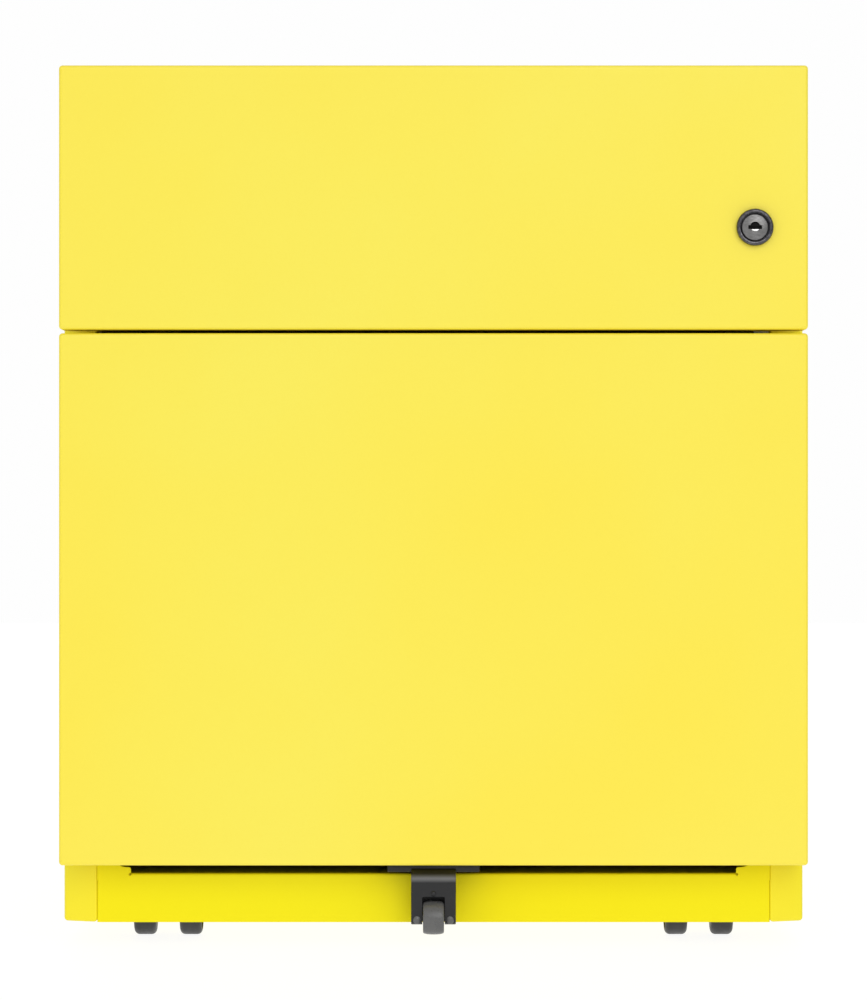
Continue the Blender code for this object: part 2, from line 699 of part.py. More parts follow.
def stabiliser(filing, wheel_body):
    """The anti-tilt wheel that travels with the filing drawer, just clear of the floor."""
    axle_y = BRACKET_FACE + KNUCKLE_RADIUS
    centre = (BRACKET_FACE + BRACKET_BEND, BRACKET_LEG_TOP - BRACKET_BEND)
    outline = [(BRACKET_BACK, BRACKET_LEG_TOP)]
    outline += arc(centre, BRACKET_BEND, 90, 180, 6)
    outline.append((BRACKET_FACE, STABILISER_Z))
    bracket = folded("stabiliser_bracket", outline, "X", -BRACKET_HALF, BRACKET_HALF,
                     BRACKET_THICK, offset=-1)
    top = box("stabiliser_top_plate",
              (-BRACKET_PLATE_HALF, BRACKET_FACE + BRACKET_PLATE_SETBACK,
               BRACKET_TOP - BRACKET_THICK),
              (BRACKET_PLATE_HALF, BRACKET_BACK + BRACKET_THICK, BRACKET_TOP))
    knuckle = rod("stabiliser_knuckle", KNUCKLE_RADIUS, 2 * (BRACKET_HALF - SKIM),
                  (0, axle_y, STABILISER_Z), ALONG_X, steps=24)
    join(bracket, top, knuckle)
    before, behind = SLOT_REACH
    slot = box("stabiliser_slot", (-SLOT_HALF, BRACKET_FACE - before, SLOT_LOW),
               (SLOT_HALF, BRACKET_FACE + behind, SLOT_TOP))
    bore = rod("stabiliser_bore", STABILISER_AXLE_RADIUS + GAP, LONG_BORE,
               (0, axle_y, STABILISER_Z), ALONG_X, steps=24)
    cut(bracket, slot, bore)
    finish(bracket, DARK_METAL, filing)
    axle = rod("stabiliser_axle", STABILISER_AXLE_RADIUS, 2 * BRACKET_HALF,
               (0, axle_y, STABILISER_Z), ALONG_X, steps=16)
    finish(axle, ZINC, filing)
    rim = STABILISER_WHEEL_RADIUS
    half = STABILISER_WHEEL_HALF
    corner = STABILISER_CORNER
    bore_radius = STABILISER_AXLE_RADIUS + GAP
    profile = [(rim - corner, half), (rim, half - corner), (rim, corner - half),
               (rim - corner, -half), (bore_radius, -half), (bore_radius, half)]
    wheel = turned("stabiliser_wheel", profile, (0, axle_y, STABILISER_Z), ALONG_X, ring=True)
    finish(wheel, GREY_NYLON, wheel_body)


def castor_hood(name, x, y, parent):
    """The fork of a twin-wheel castor: a web between the wheels, a fender and a neck."""
    axle = (x, y + CASTOR_TRAIL, CASTOR_RADIUS)
    inner = CASTOR_RADIUS + HOOD_CLEAR
    across = CASTOR_SPACE / 2 + CASTOR_WHEEL_WIDTH - FENDER_SHORT
    outline = arc((axle[1], axle[2]), inner + HOOD_SKIN, *HOOD_ARC, 12)
    hood = folded(name, outline, "X", x - across, x + across, HOOD_SKIN, offset=1)
    web_half = CASTOR_SPACE / 2 - HUB_CLEAR
    hub = rod(name + "_hub", HUB_RADIUS, 2 * web_half, axle, ALONG_X)
    sides = (x - web_half + SKIM, x + web_half - SKIM)
    web = box(name + "_web", (sides[0], axle[1] + WEB_Y[0], axle[2] + WEB_LOW),
              (sides[1], axle[1] + WEB_Y[1], axle[2] + inner - WEB_DROP))
    crown = box(name + "_crown", (sides[0], axle[1] + CROWN_Y[0], axle[2] + CROWN_LOW),
                (sides[1], axle[1] + CROWN_Y[1], axle[2] + inner + HOOD_SKIN / 2))
    neck_top = PAN_TOP - SHEET - GAP - CASTOR_PLATE_THICK - GAP
    neck_low = axle[2] + NECK_DROP
    neck = rod(name + "_neck", NECK_RADIUS, neck_top - neck_low, (x, y, (neck_top + neck_low) / 2))
    collar_top = neck_top + SKIM
    collar_low = axle[2] + inner + COLLAR_LIFT
    collar = rod(name + "_collar", COLLAR_RADIUS, collar_top - collar_low,
                 (x, y, (collar_top + collar_low) / 2))
    join(hood, hub, web, crown, neck, collar)
    axle_bore = rod(name + "_axle_bore", CASTOR_AXLE_RADIUS + GAP, LONG_BORE, axle, ALONG_X,
                    steps=24)
    stem_bore = rod(name + "_stem_bore", STEM_RADIUS + GAP, LONG_BORE,
                    (x, y, STEM_LOW - GAP + LONG_BORE / 2), steps=24)
    cut(hood, axle_bore, stem_bore)
    finish(hood, NYLON, parent)


def castor_plate(name, x, y):
    """The mounting plate under the base pan, with the stem that the castor turns on."""
    top = PAN_TOP - SHEET - GAP
    half = CASTOR_PLATE / 2
    base = box(name, (x - half, y - half, top - CASTOR_PLATE_THICK), (x + half, y + half, top))
    overlap = CASTOR_PLATE_THICK / 2
    stem_top = top - overlap
    stem = rod(name + "_stem", STEM_RADIUS, stem_top - STEM_LOW, (x, y, (stem_top + STEM_LOW) / 2),
               steps=24)
    finish(join(base, stem), ZINC)


def castor_wheel_profile():
    half = CASTOR_WHEEL_WIDTH / 2
    rim = CASTOR_RADIUS
    shoulder = CASTOR_SHOULDER
    bore = CASTOR_AXLE_RADIUS + GAP
    upper = arc((rim - shoulder, half - shoulder), shoulder, 90, 0, 3)
    lower = arc((rim - shoulder, shoulder - half), shoulder, 0, -90, 3)
    return upper + lower + [(bore, -half), (bore, half)]


def castor(place, x, y):
    """A swivelling castor with two wheels that turn on their own."""
    name = "castor_" + place
    swivel = body(name + "_swivel", (x, y, 0))
    castor_plate(name + "_plate", x, y)
    castor_hood(name + "_hood", x, y, swivel)
    axle_place = (x, y + CASTOR_TRAIL, CASTOR_RADIUS)
    across = CASTOR_SPACE / 2 + CASTOR_WHEEL_WIDTH - AXLE_SHORT
    axle = rod(name + "_axle", CASTOR_AXLE_RADIUS, 2 * across, axle_place, ALONG_X, steps=16)
    finish(axle, ZINC, swivel)
    for side, sign in SIDES.items():
        centre = (x + sign * (CASTOR_SPACE + CASTOR_WHEEL_WIDTH) / 2, axle_place[1], axle_place[2])
        turning = body("{}_wheel_{}_axis".format(name, side), centre)
        wheel = turned("{}_wheel_{}".format(name, side), castor_wheel_profile(), centre, ALONG_X,
                       steps=WHEEL_STEPS, ring=True)
        finish(wheel, NYLON, turning)
        turning.parent = swivel
        turning.location = turning.location - swivel.location


def carcass():
    side_panels()
    top_panel()
    back_panel()
    base_pan()
    uprights()
    lock_bar_guide()


def castors():
    for end, y in (("front", CASTOR_FRONT_Y), ("rear", CASTOR_REAR_Y)):
        for side, sign in SIDES.items():
            castor("{}_{}".format(end, side), sign * CASTOR_X, y)


def main():
    clear_scene()
    new_collection("mobile_pedestal")
    new_collection("cutters")
    stationery = body("stationery_drawer", (0, FACE_Y, STATIONERY_SLIDE_Z))
    filing = body("filing_drawer", (0, FACE_Y, FILING_SLIDE_Z))
    filing_middle = body("filing_slide_middle", (0, SLIDE_FRONT, FILING_SLIDE_Z))
    plug = body("lock_plug_axis", (LOCK_X, FACE_Y, LOCK_Z))
    bar = body("lock_bar_axis", (BAR_X[1], BAR_Y, BAR_LOW))
    stabiliser_wheel = body("stabiliser_wheel_axis",
                            (0, BRACKET_FACE + KNUCKLE_RADIUS, STABILISER_Z))
    carcass()
    slides(stationery, filing, filing_middle)
    stationery_drawer(stationery)
    filing_drawer(filing)
    lock_housing(stationery)
    lock_plug(plug)
    lock_bar(bar)
    lock_hook("stationery_lock_hook", STATIONERY_HOOK_Z, stationery)
    lock_hook("filing_lock_hook", FILING_HOOK_Z, filing)
    stabiliser(filing, stabiliser_wheel)
    castors()


main()
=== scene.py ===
"""The looks of a two-drawer mobile pedestal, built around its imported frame, in metres.

X runs across the pedestal, the drawers open towards -Y, and Z = 0 is the floor.
"""
import math

import bmesh
import bpy
from mathutils import Matrix, Vector


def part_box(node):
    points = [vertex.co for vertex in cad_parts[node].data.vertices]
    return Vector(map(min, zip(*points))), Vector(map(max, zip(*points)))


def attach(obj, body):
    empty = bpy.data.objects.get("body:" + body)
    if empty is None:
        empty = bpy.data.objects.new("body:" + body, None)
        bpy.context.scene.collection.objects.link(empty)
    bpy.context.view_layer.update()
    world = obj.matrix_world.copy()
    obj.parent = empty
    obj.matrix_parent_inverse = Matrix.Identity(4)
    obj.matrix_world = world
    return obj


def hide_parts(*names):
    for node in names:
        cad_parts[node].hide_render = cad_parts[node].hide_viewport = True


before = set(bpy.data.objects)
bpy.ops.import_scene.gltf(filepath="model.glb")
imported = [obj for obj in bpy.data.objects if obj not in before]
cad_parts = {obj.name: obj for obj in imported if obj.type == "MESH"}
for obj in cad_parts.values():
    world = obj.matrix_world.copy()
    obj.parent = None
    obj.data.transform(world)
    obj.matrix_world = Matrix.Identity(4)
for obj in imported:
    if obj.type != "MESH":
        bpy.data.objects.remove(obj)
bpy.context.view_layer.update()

MM = 0.001
SIDES = {"left": -1, "right": 1}
CORNERS = ("front_left", "front_right", "rear_left", "rear_right")
STEEL = 1.2 * MM            # carcass and front sheet
THIN = 1.0 * MM             # drawer sheet
GRIP_DEPTH = 8 * MM         # slant of the side panels' front edges
GRIP_RETURN = 16 * MM       # width of the edge folded back behind the slant
SEAM = 0.25 * MM            # how far the sides' inner edges reach past their CAD
RAW_EDGE = 0.25 * MM        # rounding of sheet edges
BORE_EDGE = 0.01 * MM       # keeps the ends of cutting rods square
LOCK_BORE = 8.8 * MM        # radius of the hole for the lock
SHARP = math.radians(38)    # edges steeper than this stay crisp
WELD = 1e-7                 # points nearer than this are one
SAME_WAY = 0.9              # least cosine between a face's normal and the side it is on

# Camera: level with the middle of the fronts, square to them
CAMERA_DISTANCE = 2.390     # from the drawer faces
CAMERA_HEIGHT = 0.2513
FRAME_HEIGHT = 0.5603       # height of the view at the drawer faces
SENSOR = 36.0

BACKDROP = 0.991            # brightness of the surround in view
HORIZON_LIGHT = 0.45        # what it gives as light, level with the camera
ZENITH_LIGHT = 0.80
KEY_LIGHT = (14, 24, 36, 0.67)      # azimuth, height, spread, strength
FILL_LIGHT = (-35, 18, 60, 0.33)
FLOOR_GLOW = 0.925          # the floor's own light, which keeps it free of the object's tint

# Finishes that many pieces wear
YELLOW_COAT = "yellow_powder_coat"
ZINC_PLATE = "zinc_plated_steel"

# Powder coats: the colour, the warmer and paler ones clouded through it, and the gloss
FRONT_COAT = ((0.922, 0.770, 0.023), (0.936, 0.754, 0.013), (0.910, 0.780, 0.040), 0.9)
CARCASS_COAT = ((0.915, 0.790, 0.016), (0.926, 0.774, 0.012), (0.902, 0.798, 0.024), 0.3)
# The plinth wears a deeper, less blue and duller copy of the same yellow coat: painted shade, for
# the shadow under the drawers' overhang
PLINTH_SHADED_COAT = ((0.885, 0.785, 0.004), (0.895, 0.768, 0.003), (0.875, 0.792, 0.008), 0.12)

# Base colours, linear
INNER_GREY = (0.032, 0.033, 0.037)
ZINC = (0.640, 0.650, 0.660)
DARK_NICKEL = (0.070, 0.068, 0.076)
BRUSHED = (0.225, 0.221, 0.220)
BLACK_PAINT = (0.010, 0.010, 0.011)
BLACK_NYLON = (0.024, 0.024, 0.023)
GREY_NYLON = (0.098, 0.098, 0.096)


# ---------------- materials

class Finish:
    """A procedural material on a Principled shader, in the piece's own coordinates."""

    def __init__(self, name, colour, roughness, metallic=0.0, gloss=0.5):
        self.material = bpy.data.materials.new(name)
        self.material.use_nodes = True
        self.tree = self.material.node_tree
        self.shader = self.tree.nodes["Principled BSDF"]
        self.set("Base Color", (*colour, 1))
        self.set("Roughness", roughness)
        self.set("Metallic", metallic)
        self.set("Specular IOR Level", gloss)
        self.material.diffuse_color = (*colour, 1)
        self.place = self.tree.nodes.new("ShaderNodeTexCoord").outputs["Object"]
        self.normal = None

    def set(self, socket, value):
        self.shader.inputs[socket].default_value = value

    def link(self, source, target):
        self.tree.links.new(source, target)

    def height(self):
        """The piece's own height."""
        split = self.tree.nodes.new("ShaderNodeSeparateXYZ")
        self.link(self.place, split.inputs["Vector"])
        return split.outputs["Z"]

    def noise(self, scale, detail=2.0, stretch=(1, 1, 1)):
        """A noise value between 0 and 1, with its features about 1 / scale metres across."""
        mapping = self.tree.nodes.new("ShaderNodeMapping")
        mapping.inputs["Scale"].default_value = stretch
        self.link(self.place, mapping.inputs["Vector"])
        noise = self.tree.nodes.new("ShaderNodeTexNoise")
        noise.inputs["Scale"].default_value = scale
        noise.inputs["Detail"].default_value = detail
        self.link(mapping.outputs["Vector"], noise.inputs["Vector"])
        return noise.outputs["Fac"]

    def remap(self, value, low, high, start=0.3, end=0.7):
        """A value stretched from start..end to low..high."""
        node = self.tree.nodes.new("ShaderNodeMapRange")
        limits = {"From Min": start, "From Max": end, "To Min": low, "To Max": high}
        for socket, limit in limits.items():
            node.inputs[socket].default_value = limit
        self.link(value, node.inputs["Value"])
        return node.outputs["Result"]

    def mix(self, factor, first, second):
        """A colour between two colours or colour sockets."""
        node = self.tree.nodes.new("ShaderNodeMix")
        node.data_type = "RGBA"
        self.link(factor, node.inputs[0])
        for socket, colour in ((node.inputs[6], first), (node.inputs[7], second)):
            if isinstance(colour, tuple):
                socket.default_value = (*colour, 1)
            else:
                self.link(colour, socket)
        return node.outputs[2]

    def colour(self, factor, first, second):
        """Mix two colours for the surface."""
        self.link(self.mix(factor, first, second), self.shader.inputs["Base Color"])

    def roughness(self, value, low, high):
        """Stretch a value over the surface's roughness."""
        self.link(self.remap(value, low, high), self.shader.inputs["Roughness"])

    def bump(self, height, strength, distance):
        """Add one layer of relief over those before it."""
        node = self.tree.nodes.new("ShaderNodeBump")
        node.inputs["Strength"].default_value = strength
        node.inputs["Distance"].default_value = distance
        self.link(height, node.inputs["Height"])
        if self.normal:
            self.link(self.normal, node.inputs["Normal"])
        self.normal = node.outputs["Normal"]
        self.link(self.normal, self.shader.inputs["Normal"])


def powder_coat(name, colour, warm, pale, gloss):
    """Satin powder coat: orange peel, faint clouds of hue and a fine speckle."""
    paint = Finish(name, colour, 0.42, gloss=gloss)
    clouds = paint.remap(paint.noise(3.2, 3.0), 0, 1, 0.35, 0.65)
    tint = paint.mix(clouds, pale, warm)
    deep = tuple(0.95 * value for value in warm)
    speckle = paint.remap(paint.noise(900, 2.0), 0.0, 0.16, 0.45, 0.75)
    paint.colour(speckle, tint, deep)
    paint.roughness(paint.noise(22, 3.0), 0.38, 0.48)
    paint.bump(paint.noise(620, 2.0), 0.22, 0.12 * MM)
    paint.bump(paint.noise(2600, 1.0), 0.12, 0.03 * MM)
    return paint.material


def inner_coat():
    """Matt dark powder coat with a coarse texture and a few rub marks."""
    paint = Finish("dark_powder_coat", INNER_GREY, 0.55)
    rubs = paint.remap(paint.noise(60, 5.0, (1, 0.15, 1)), 0, 0.5, 0.58, 0.75)
    paint.colour(rubs, INNER_GREY, (0.060, 0.061, 0.066))
    paint.roughness(paint.noise(40, 3.0), 0.48, 0.64)
    paint.bump(paint.noise(1100, 3.0), 0.45, 0.18 * MM)
    return paint.material


def zinc_plate():
    """Bright zinc plate, with rolling lines along the strip and a faint blue and straw cast."""
    plate = Finish("zinc_plated_steel", ZINC, 0.30, 1.0)
    cast = plate.remap(plate.noise(45, 3.0), 0, 1, 0.38, 0.62)
    tint = plate.mix(cast, (0.60, 0.63, 0.67), (0.68, 0.66, 0.61))
    grain = plate.noise(900, 3.0, (1, 0.02, 1))
    plate.colour(plate.remap(grain, 0, 0.35, 0.4, 0.7), tint, (0.47, 0.48, 0.49))
    plate.roughness(plate.noise(120, 4.0), 0.24, 0.42)
    plate.bump(grain, 0.15, 0.04 * MM)
    return plate.material


def dark_nickel():
    """Polished dark nickel plate, with light handling scratches."""
    plate = Finish("dark_nickel", DARK_NICKEL, 0.22, 1.0)
    haze = plate.remap(plate.noise(700, 3.0), 0, 1, 0.4, 0.7)
    plate.colour(haze, DARK_NICKEL, (0.14, 0.135, 0.145))
    plate.roughness(plate.noise(500, 4.0), 0.16, 0.30)
    plate.bump(plate.noise(1500, 2.0), 0.08, 0.03 * MM)
    return plate.material


def brushed_nickel():
    """Brushed nickel, lined across the face."""
    plate = Finish("brushed_nickel", BRUSHED, 0.34, 1.0)
    lines = plate.noise(2600, 3.0, (0.12, 1, 1))
    plate.colour(plate.remap(lines, 0, 0.8, 0.4, 0.65), BRUSHED, (0.15, 0.148, 0.146))
    plate.roughness(lines, 0.26, 0.46)
    plate.bump(lines, 0.30, 0.05 * MM)
    plate.set("Anisotropic", 0.75)
    turned = plate.tree.nodes.new("ShaderNodeTangent")
    turned.direction_type = "RADIAL"
    turned.axis = "Y"
    plate.link(turned.outputs["Tangent"], plate.shader.inputs["Tangent"])
    return plate.material


def black_paint():
    """Satin black paint on pressed steel, thin in patches, with a painted highlight: a paler band
    along its bend.
    """
    paint = Finish("black_painted_steel", BLACK_PAINT, 0.34, gloss=0.38)
    worn = paint.remap(paint.noise(420, 5.0), 0, 0.5, 0.62, 0.78)
    thin = paint.mix(worn, BLACK_PAINT, (0.032, 0.032, 0.031))
    # The bend lies between these heights over the floor; the paler colour there is a painted
    # highlight, standing in for the light the bend catches
    highlight_fade_in = paint.remap(paint.height(), 0, 1, 36.2 * MM, 38.6 * MM)
    highlight_fade_out = paint.remap(paint.height(), 1, 0, 39.0 * MM, 41.2 * MM)
    painted_bend_highlight = paint.tree.nodes.new("ShaderNodeMath")
    painted_bend_highlight.operation = "MULTIPLY"
    paint.link(highlight_fade_in, painted_bend_highlight.inputs[0])
    paint.link(highlight_fade_out, painted_bend_highlight.inputs[1])
    # Painted highlight: the band across the bend is mixed towards pale grey over the worn black
    paint.colour(painted_bend_highlight.outputs["Value"], thin, (0.120, 0.120, 0.125))
    paint.roughness(paint.noise(160, 3.0), 0.27, 0.40)
    paint.bump(paint.noise(1300, 2.0), 0.25, 0.06 * MM)
    return paint.material


def nylon(name, colour, lighter, roughness, gloss=0.5):
    """Moulded nylon: fine spark-eroded grain, faint flow marks and floor scuffs."""
    plastic = Finish(name, colour, roughness, gloss=gloss)
    flow = plastic.remap(plastic.noise(90, 4.0, (1, 1, 0.3)), 0, 0.6, 0.45, 0.75)
    plastic.colour(flow, colour, lighter)
    plastic.roughness(plastic.noise(300, 4.0), roughness - 0.07, roughness + 0.1)
    plastic.bump(plastic.noise(1900, 2.0), 0.22, 0.06 * MM)
    return plastic.material


def floor_finish():
    """A plain pale floor, evenly lit from within like a photographer's sweep."""
    floor = Finish("pale_floor", (0.09, 0.09, 0.09), 0.65, gloss=0.1)
    floor.set("Emission Color", (1, 1, 1, 1))
    floor.set("Emission Strength", FLOOR_GLOW)
    patch = floor.remap(floor.noise(2.5, 3.0), 0, 1)
    floor.colour(patch, (0.085, 0.085, 0.085), (0.095, 0.095, 0.095))
    return floor.material


LOOKS = {
    "front_coat": powder_coat("front_powder_coat", *FRONT_COAT),
    YELLOW_COAT: powder_coat("carcass_powder_coat", *CARCASS_COAT),
    "plinth_shaded_coat": powder_coat("plinth_powder_coat_painted_shade", *PLINTH_SHADED_COAT),
    "grey_powder_coat": inner_coat(),
    ZINC_PLATE: zinc_plate(),
    "black_nickel": dark_nickel(),
    "brushed_nickel": brushed_nickel(),
    "black_painted_steel": black_paint(),
    "black_nylon": nylon("black_nylon", BLACK_NYLON, (0.048, 0.047, 0.046), 0.44),
    # The shutter's copy of black nylon is darker and nearly without gloss: painted shade for the
    # depth of the keyway
    "shutter_shaded_black": nylon("shutter_shaded_black", (0.004, 0.004, 0.004), (0.009, 0.009, 0.009),
                           0.6, 0.1),
    "grey_nylon": nylon("grey_nylon", GREY_NYLON, (0.150, 0.149, 0.146), 0.30),
}


# ---------------- shapes

def link_new(name, data):
    """An object in the scene for a mesh, curve, lamp or camera."""
    made = bpy.data.objects.new(name, data)
    bpy.context.scene.collection.objects.link(made)
    return made


def from_form(name, form):
    """An object from a bmesh, which is freed."""
    mesh = bpy.data.meshes.new(name)
    form.to_mesh(mesh)
    form.free()
    return link_new(name, mesh)


def weld(mesh):
    """Join a mesh's doubled points and turn its faces outwards."""
    form = bmesh.new()
    form.from_mesh(mesh)
    bmesh.ops.remove_doubles(form, verts=form.verts, dist=WELD)
    bmesh.ops.recalc_face_normals(form, faces=form.faces)
    form.to_mesh(mesh)
    form.free()


def settle(piece):
    """Turn an object's modifiers into its mesh, welded and shaded by angle."""
    bpy.context.view_layer.update()
    seen = piece.evaluated_get(bpy.context.evaluated_depsgraph_get())
    mesh = bpy.data.meshes.new_from_object(seen)
    mesh.transform(piece.matrix_world)
    name = piece.name
    bpy.data.objects.remove(piece, do_unlink=True)
    weld(mesh)
    mesh.shade_smooth()
    mesh.set_sharp_from_angle(angle=SHARP)
    return link_new(name, mesh)


def solidify(piece, thickness, offset=-1):
    skin = piece.modifiers.new("Sheet", "SOLIDIFY")
    skin.thickness = thickness
    skin.offset = offset
    skin.use_even_offset = True


def bevel(piece, width, segments=2):
    rounding = piece.modifiers.new("Rounding", "BEVEL")
    rounding.width = width
    rounding.segments = segments
    rounding.limit_method = "ANGLE"
    rounding.angle_limit = math.radians(50)


def box_form(low, high):
    """A bmesh box between two corners."""
    form = bmesh.new()
    bmesh.ops.create_cube(form, size=1.0)
    bmesh.ops.scale(form, vec=[b - a for a, b in zip(low, high)], verts=form.verts)
    bmesh.ops.translate(form, vec=[(a + b) / 2 for a, b in zip(low, high)], verts=form.verts)
    return form


def block(name, low, high, radius=0.3 * MM, segments=2):
    """A box with rounded edges."""
    piece = from_form(name, box_form(low, high))
    if radius:
        bevel(piece, radius, segments)
    return settle(piece)


def pan(name, low, high, open_sides, thickness, radius, segments=4, field=None):
    """A sheet box without some sides, its folds rounded and its raw edges eased.

    A field is pressed into the side it names, inside a margin.
    """
    form = box_form(low, high)
    if field:
        facing, margin, slope, depth = field
        faces = [face for face in form.faces if face.normal.dot(Vector(facing)) > SAME_WAY]
        bmesh.ops.inset_individual(form, faces=faces, thickness=margin)
        bmesh.ops.inset_individual(form, faces=faces, thickness=slope, depth=-depth)
    doomed = [face for face in form.faces
              if any(face.normal.dot(Vector(side)) > SAME_WAY for side in open_sides)]
    bmesh.ops.delete(form, geom=doomed, context="FACES")
    piece = from_form(name, form)
    bevel(piece, radius, segments)
    solidify(piece, thickness)
    bevel(piece, RAW_EDGE)
    return settle(piece)


def rounded(points, radius, steps=5, closed=False):
    """An outline with its corners turned into arcs."""
    corners = [Vector(point) for point in points]
    count = len(corners)
    made = []
    for index, corner in enumerate(corners):
        if not closed and index in (0, count - 1):
            made.append(tuple(corner))
            continue
        back = (corners[index - 1] - corner).normalized()
        ahead = (corners[(index + 1) % count] - corner).normalized()
        half = back.angle(ahead) / 2
        centre = corner + (back + ahead).normalized() * (radius / math.sin(half))
        reach = radius / math.tan(half)
        first = corner + back * reach - centre
        last = corner + ahead * reach - centre
        turn = first.angle_signed(last)
        for step in range(steps + 1):
            spoke = first.copy()
            spoke.rotate(Matrix.Rotation(-turn * step / steps, 2))
            made.append(tuple(centre + spoke))
    return made


def channel(open_side, web, start, end, radius, steps):
    """A U outline with rounded corners, open towards one side."""
    return rounded([(open_side, start), (web, start), (web, end), (open_side, end)],
                   radius, steps)


AXIS_ORDER = {"X": (2, 0, 1), "Y": (0, 2, 1), "Z": (0, 1, 2)}


def strip(name, outline, axis, start, end, thickness, offset=-1, edge=0.2 * MM):
    """A folded sheet: an open outline across an axis, drawn out along it and thickened.

    The outline's coordinates are (y, z) across X, (x, z) across Y and (x, y) across Z.
    """
    order = AXIS_ORDER[axis]
    form = bmesh.new()
    rows = []
    for level in (start, end):
        row = []
        for first, second in outline:
            values = (first, second, level)
            row.append(form.verts.new([values[i] for i in order]))
        rows.append(row)
    for index in range(len(outline) - 1):
        form.faces.new((rows[0][index], rows[0][index + 1], rows[1][index + 1], rows[1][index]))
    piece = from_form(name, form)
    solidify(piece, thickness, offset)
    if edge:
        bevel(piece, edge)
    return settle(piece)


def plate(name, outlines, thickness, place=(0, 0, 0), rotation=(math.radians(90), 0, 0),
          edge=0.2 * MM):
    """A flat plate from closed outlines, the later ones being holes, with eased edges."""
    curve = bpy.data.curves.new(name, "CURVE")
    curve.dimensions = "2D"
    curve.fill_mode = "BOTH"
    curve.extrude = thickness / 2 - edge
    curve.bevel_depth = edge
    curve.bevel_resolution = 1
    curve.offset = -edge
    for outline in outlines:
        spline = curve.splines.new("POLY")
        spline.points.add(len(outline) - 1)
        for point, (x, y) in zip(spline.points, outline):
            point.co = (x, y, 0, 1)
        spline.use_cyclic_u = True
    piece = link_new(name, curve)
    piece.location = place
    piece.rotation_euler = rotation
    return settle(piece)


TURNS = {"X": Matrix.Rotation(math.radians(90), 4, "Y"),
         "Y": Matrix.Rotation(math.radians(-90), 4, "X"),
         "-Y": Matrix.Rotation(math.radians(90), 4, "X"),
         "Z": Matrix.Identity(4),
         "-Z": Matrix.Rotation(math.pi, 4, "X")}


def lathe(name, profile, centre=(0, 0, 0), axis="Z", steps=48, ring=False):
    """A turned piece about an axis, from (radius, height) points down its outer side."""
    form = bmesh.new()
    rows = []
    for step in range(steps):
        angle = 2 * math.pi * step / steps
        rows.append([form.verts.new((radius * math.cos(angle), radius * math.sin(angle), height))
                     for radius, height in profile])
    links = len(profile) if ring else len(profile) - 1
    for step in range(steps):
        here, there = rows[step], rows[(step + 1) % steps]
        for index in range(links):
            after = (index + 1) % len(profile)
            form.faces.new((here[index], here[after], there[after], there[index]))
    bmesh.ops.remove_doubles(form, verts=form.verts, dist=WELD)
    bmesh.ops.dissolve_degenerate(form, edges=form.edges, dist=WELD / 10)
    bmesh.ops.recalc_face_normals(form, faces=form.faces)
    form.transform(Matrix.Translation(centre) @ TURNS[axis])
    return settle(from_form(name, form))


def level_plate(name, low, high, thick, radius, steps):
    """A horizontal plate with rounded corners, its top at the height of the high corner."""
    corners = [(low[0], low[1]), (high[0], low[1]), (high[0], high[1]), (low[0], high[1])]
    return plate(name, [rounded(corners, radius, steps, closed=True)], thick,
                 (0, 0, high[2] - thick / 2), (0, 0, 0), 0.3 * MM)


def rod(name, radius, length, centre, axis="Z", steps=32, edge=0.2 * MM):
    """A cylinder with eased ends."""
    half = length / 2
    profile = [(0, half), (radius - edge, half), (radius, half - edge),
               (radius, edge - half), (radius - edge, -half), (0, -half)]
    return lathe(name, profile, centre, axis, steps)


def button(name, points, centre=(0, 0, 0), axis="Z", steps=20):
    """A small turned head, from points in millimetres."""
    return lathe(name, [(x * MM, y * MM) for x, y in points], centre, axis, steps)


def arc(centre, radius, start, end, steps):
    """Points along an arc, with its angles in degrees."""
    points = []
    for step in range(steps + 1):
        angle = math.radians(start + (end - start) * step / steps)
        points.append((centre[0] + radius * math.cos(angle), centre[1] + radius * math.sin(angle)))
    return points


def crisp(piece):
    """Mark a piece's steep edges, which joining meshes forgets."""
    piece.data.set_sharp_from_angle(angle=SHARP)
    return piece


def gather(name, pieces):
    """Several objects as one, their shapes kept as they are."""
    form = bmesh.new()
    for piece in pieces:
        form.from_mesh(piece.data)
        bpy.data.objects.remove(piece, do_unlink=True)
    return crisp(from_form(name, form))


def copies(name, source, matrices):
    """One object from copies of another object's mesh, which is removed."""
    form = bmesh.new()
    for matrix in matrices:
        mesh = source.data.copy()
        mesh.transform(matrix)
        form.from_mesh(mesh)
        bpy.data.meshes.remove(mesh)
    bpy.data.objects.remove(source, do_unlink=True)
    return crisp(from_form(name, form))


def at(*place):
    return Matrix.Translation(place)


def scatter(name, source, places, turn=TURNS["Z"]):
    """One object from a turned copy of another at each place."""
    return copies(name, source, [at(*place) @ turn for place in places])


def shape(piece, tool, operation="DIFFERENCE", solver="EXACT"):
    """Cut a piece with a tool, or join the tool to it, and remove the tool."""
    name = piece.name
    step = piece.modifiers.new("Cut", "BOOLEAN")
    step.operation = operation
    step.object = tool
    step.solver = solver
    made = settle(piece)
    made.name = name
    bpy.data.objects.remove(tool, do_unlink=True)
    return made


def bored(piece, radius, length, centre, axis="Y", steps=48):
    """Cut a round hole through a piece."""
    return shape(piece, rod("bore", radius, length, centre, axis, steps, BORE_EDGE))


def middle_of(node):
    low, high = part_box(node)
    return (low + high) / 2


def wear(piece, body, finish, nodes=(), look=None):
    """Finish a piece: its material, the body it rides on and the CAD nodes it stands for."""
    piece.data.materials.clear()
    piece.data.materials.append(LOOKS[look or finish])
    flat = piece.modifiers.new("Even shading", "WEIGHTED_NORMAL")
    flat.keep_sharp = True
    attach(piece, body)
    if nodes:
        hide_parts(*nodes)


def keep(node, finish):
    """Keep a CAD node's shape and give it a finish."""
    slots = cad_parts[node].data.materials
    slots.clear()
    slots.append(LOOKS[finish])


def mirrored(outline, sign):
    """An outline drawn for the right side, turned over for the left."""
    return [(sign * x, other) for x, other in outline]


def across(node):
    """How far a node's inner and outer faces are from the middle plane."""
    low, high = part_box(node)
    return sorted((abs(low.x), abs(high.x)))


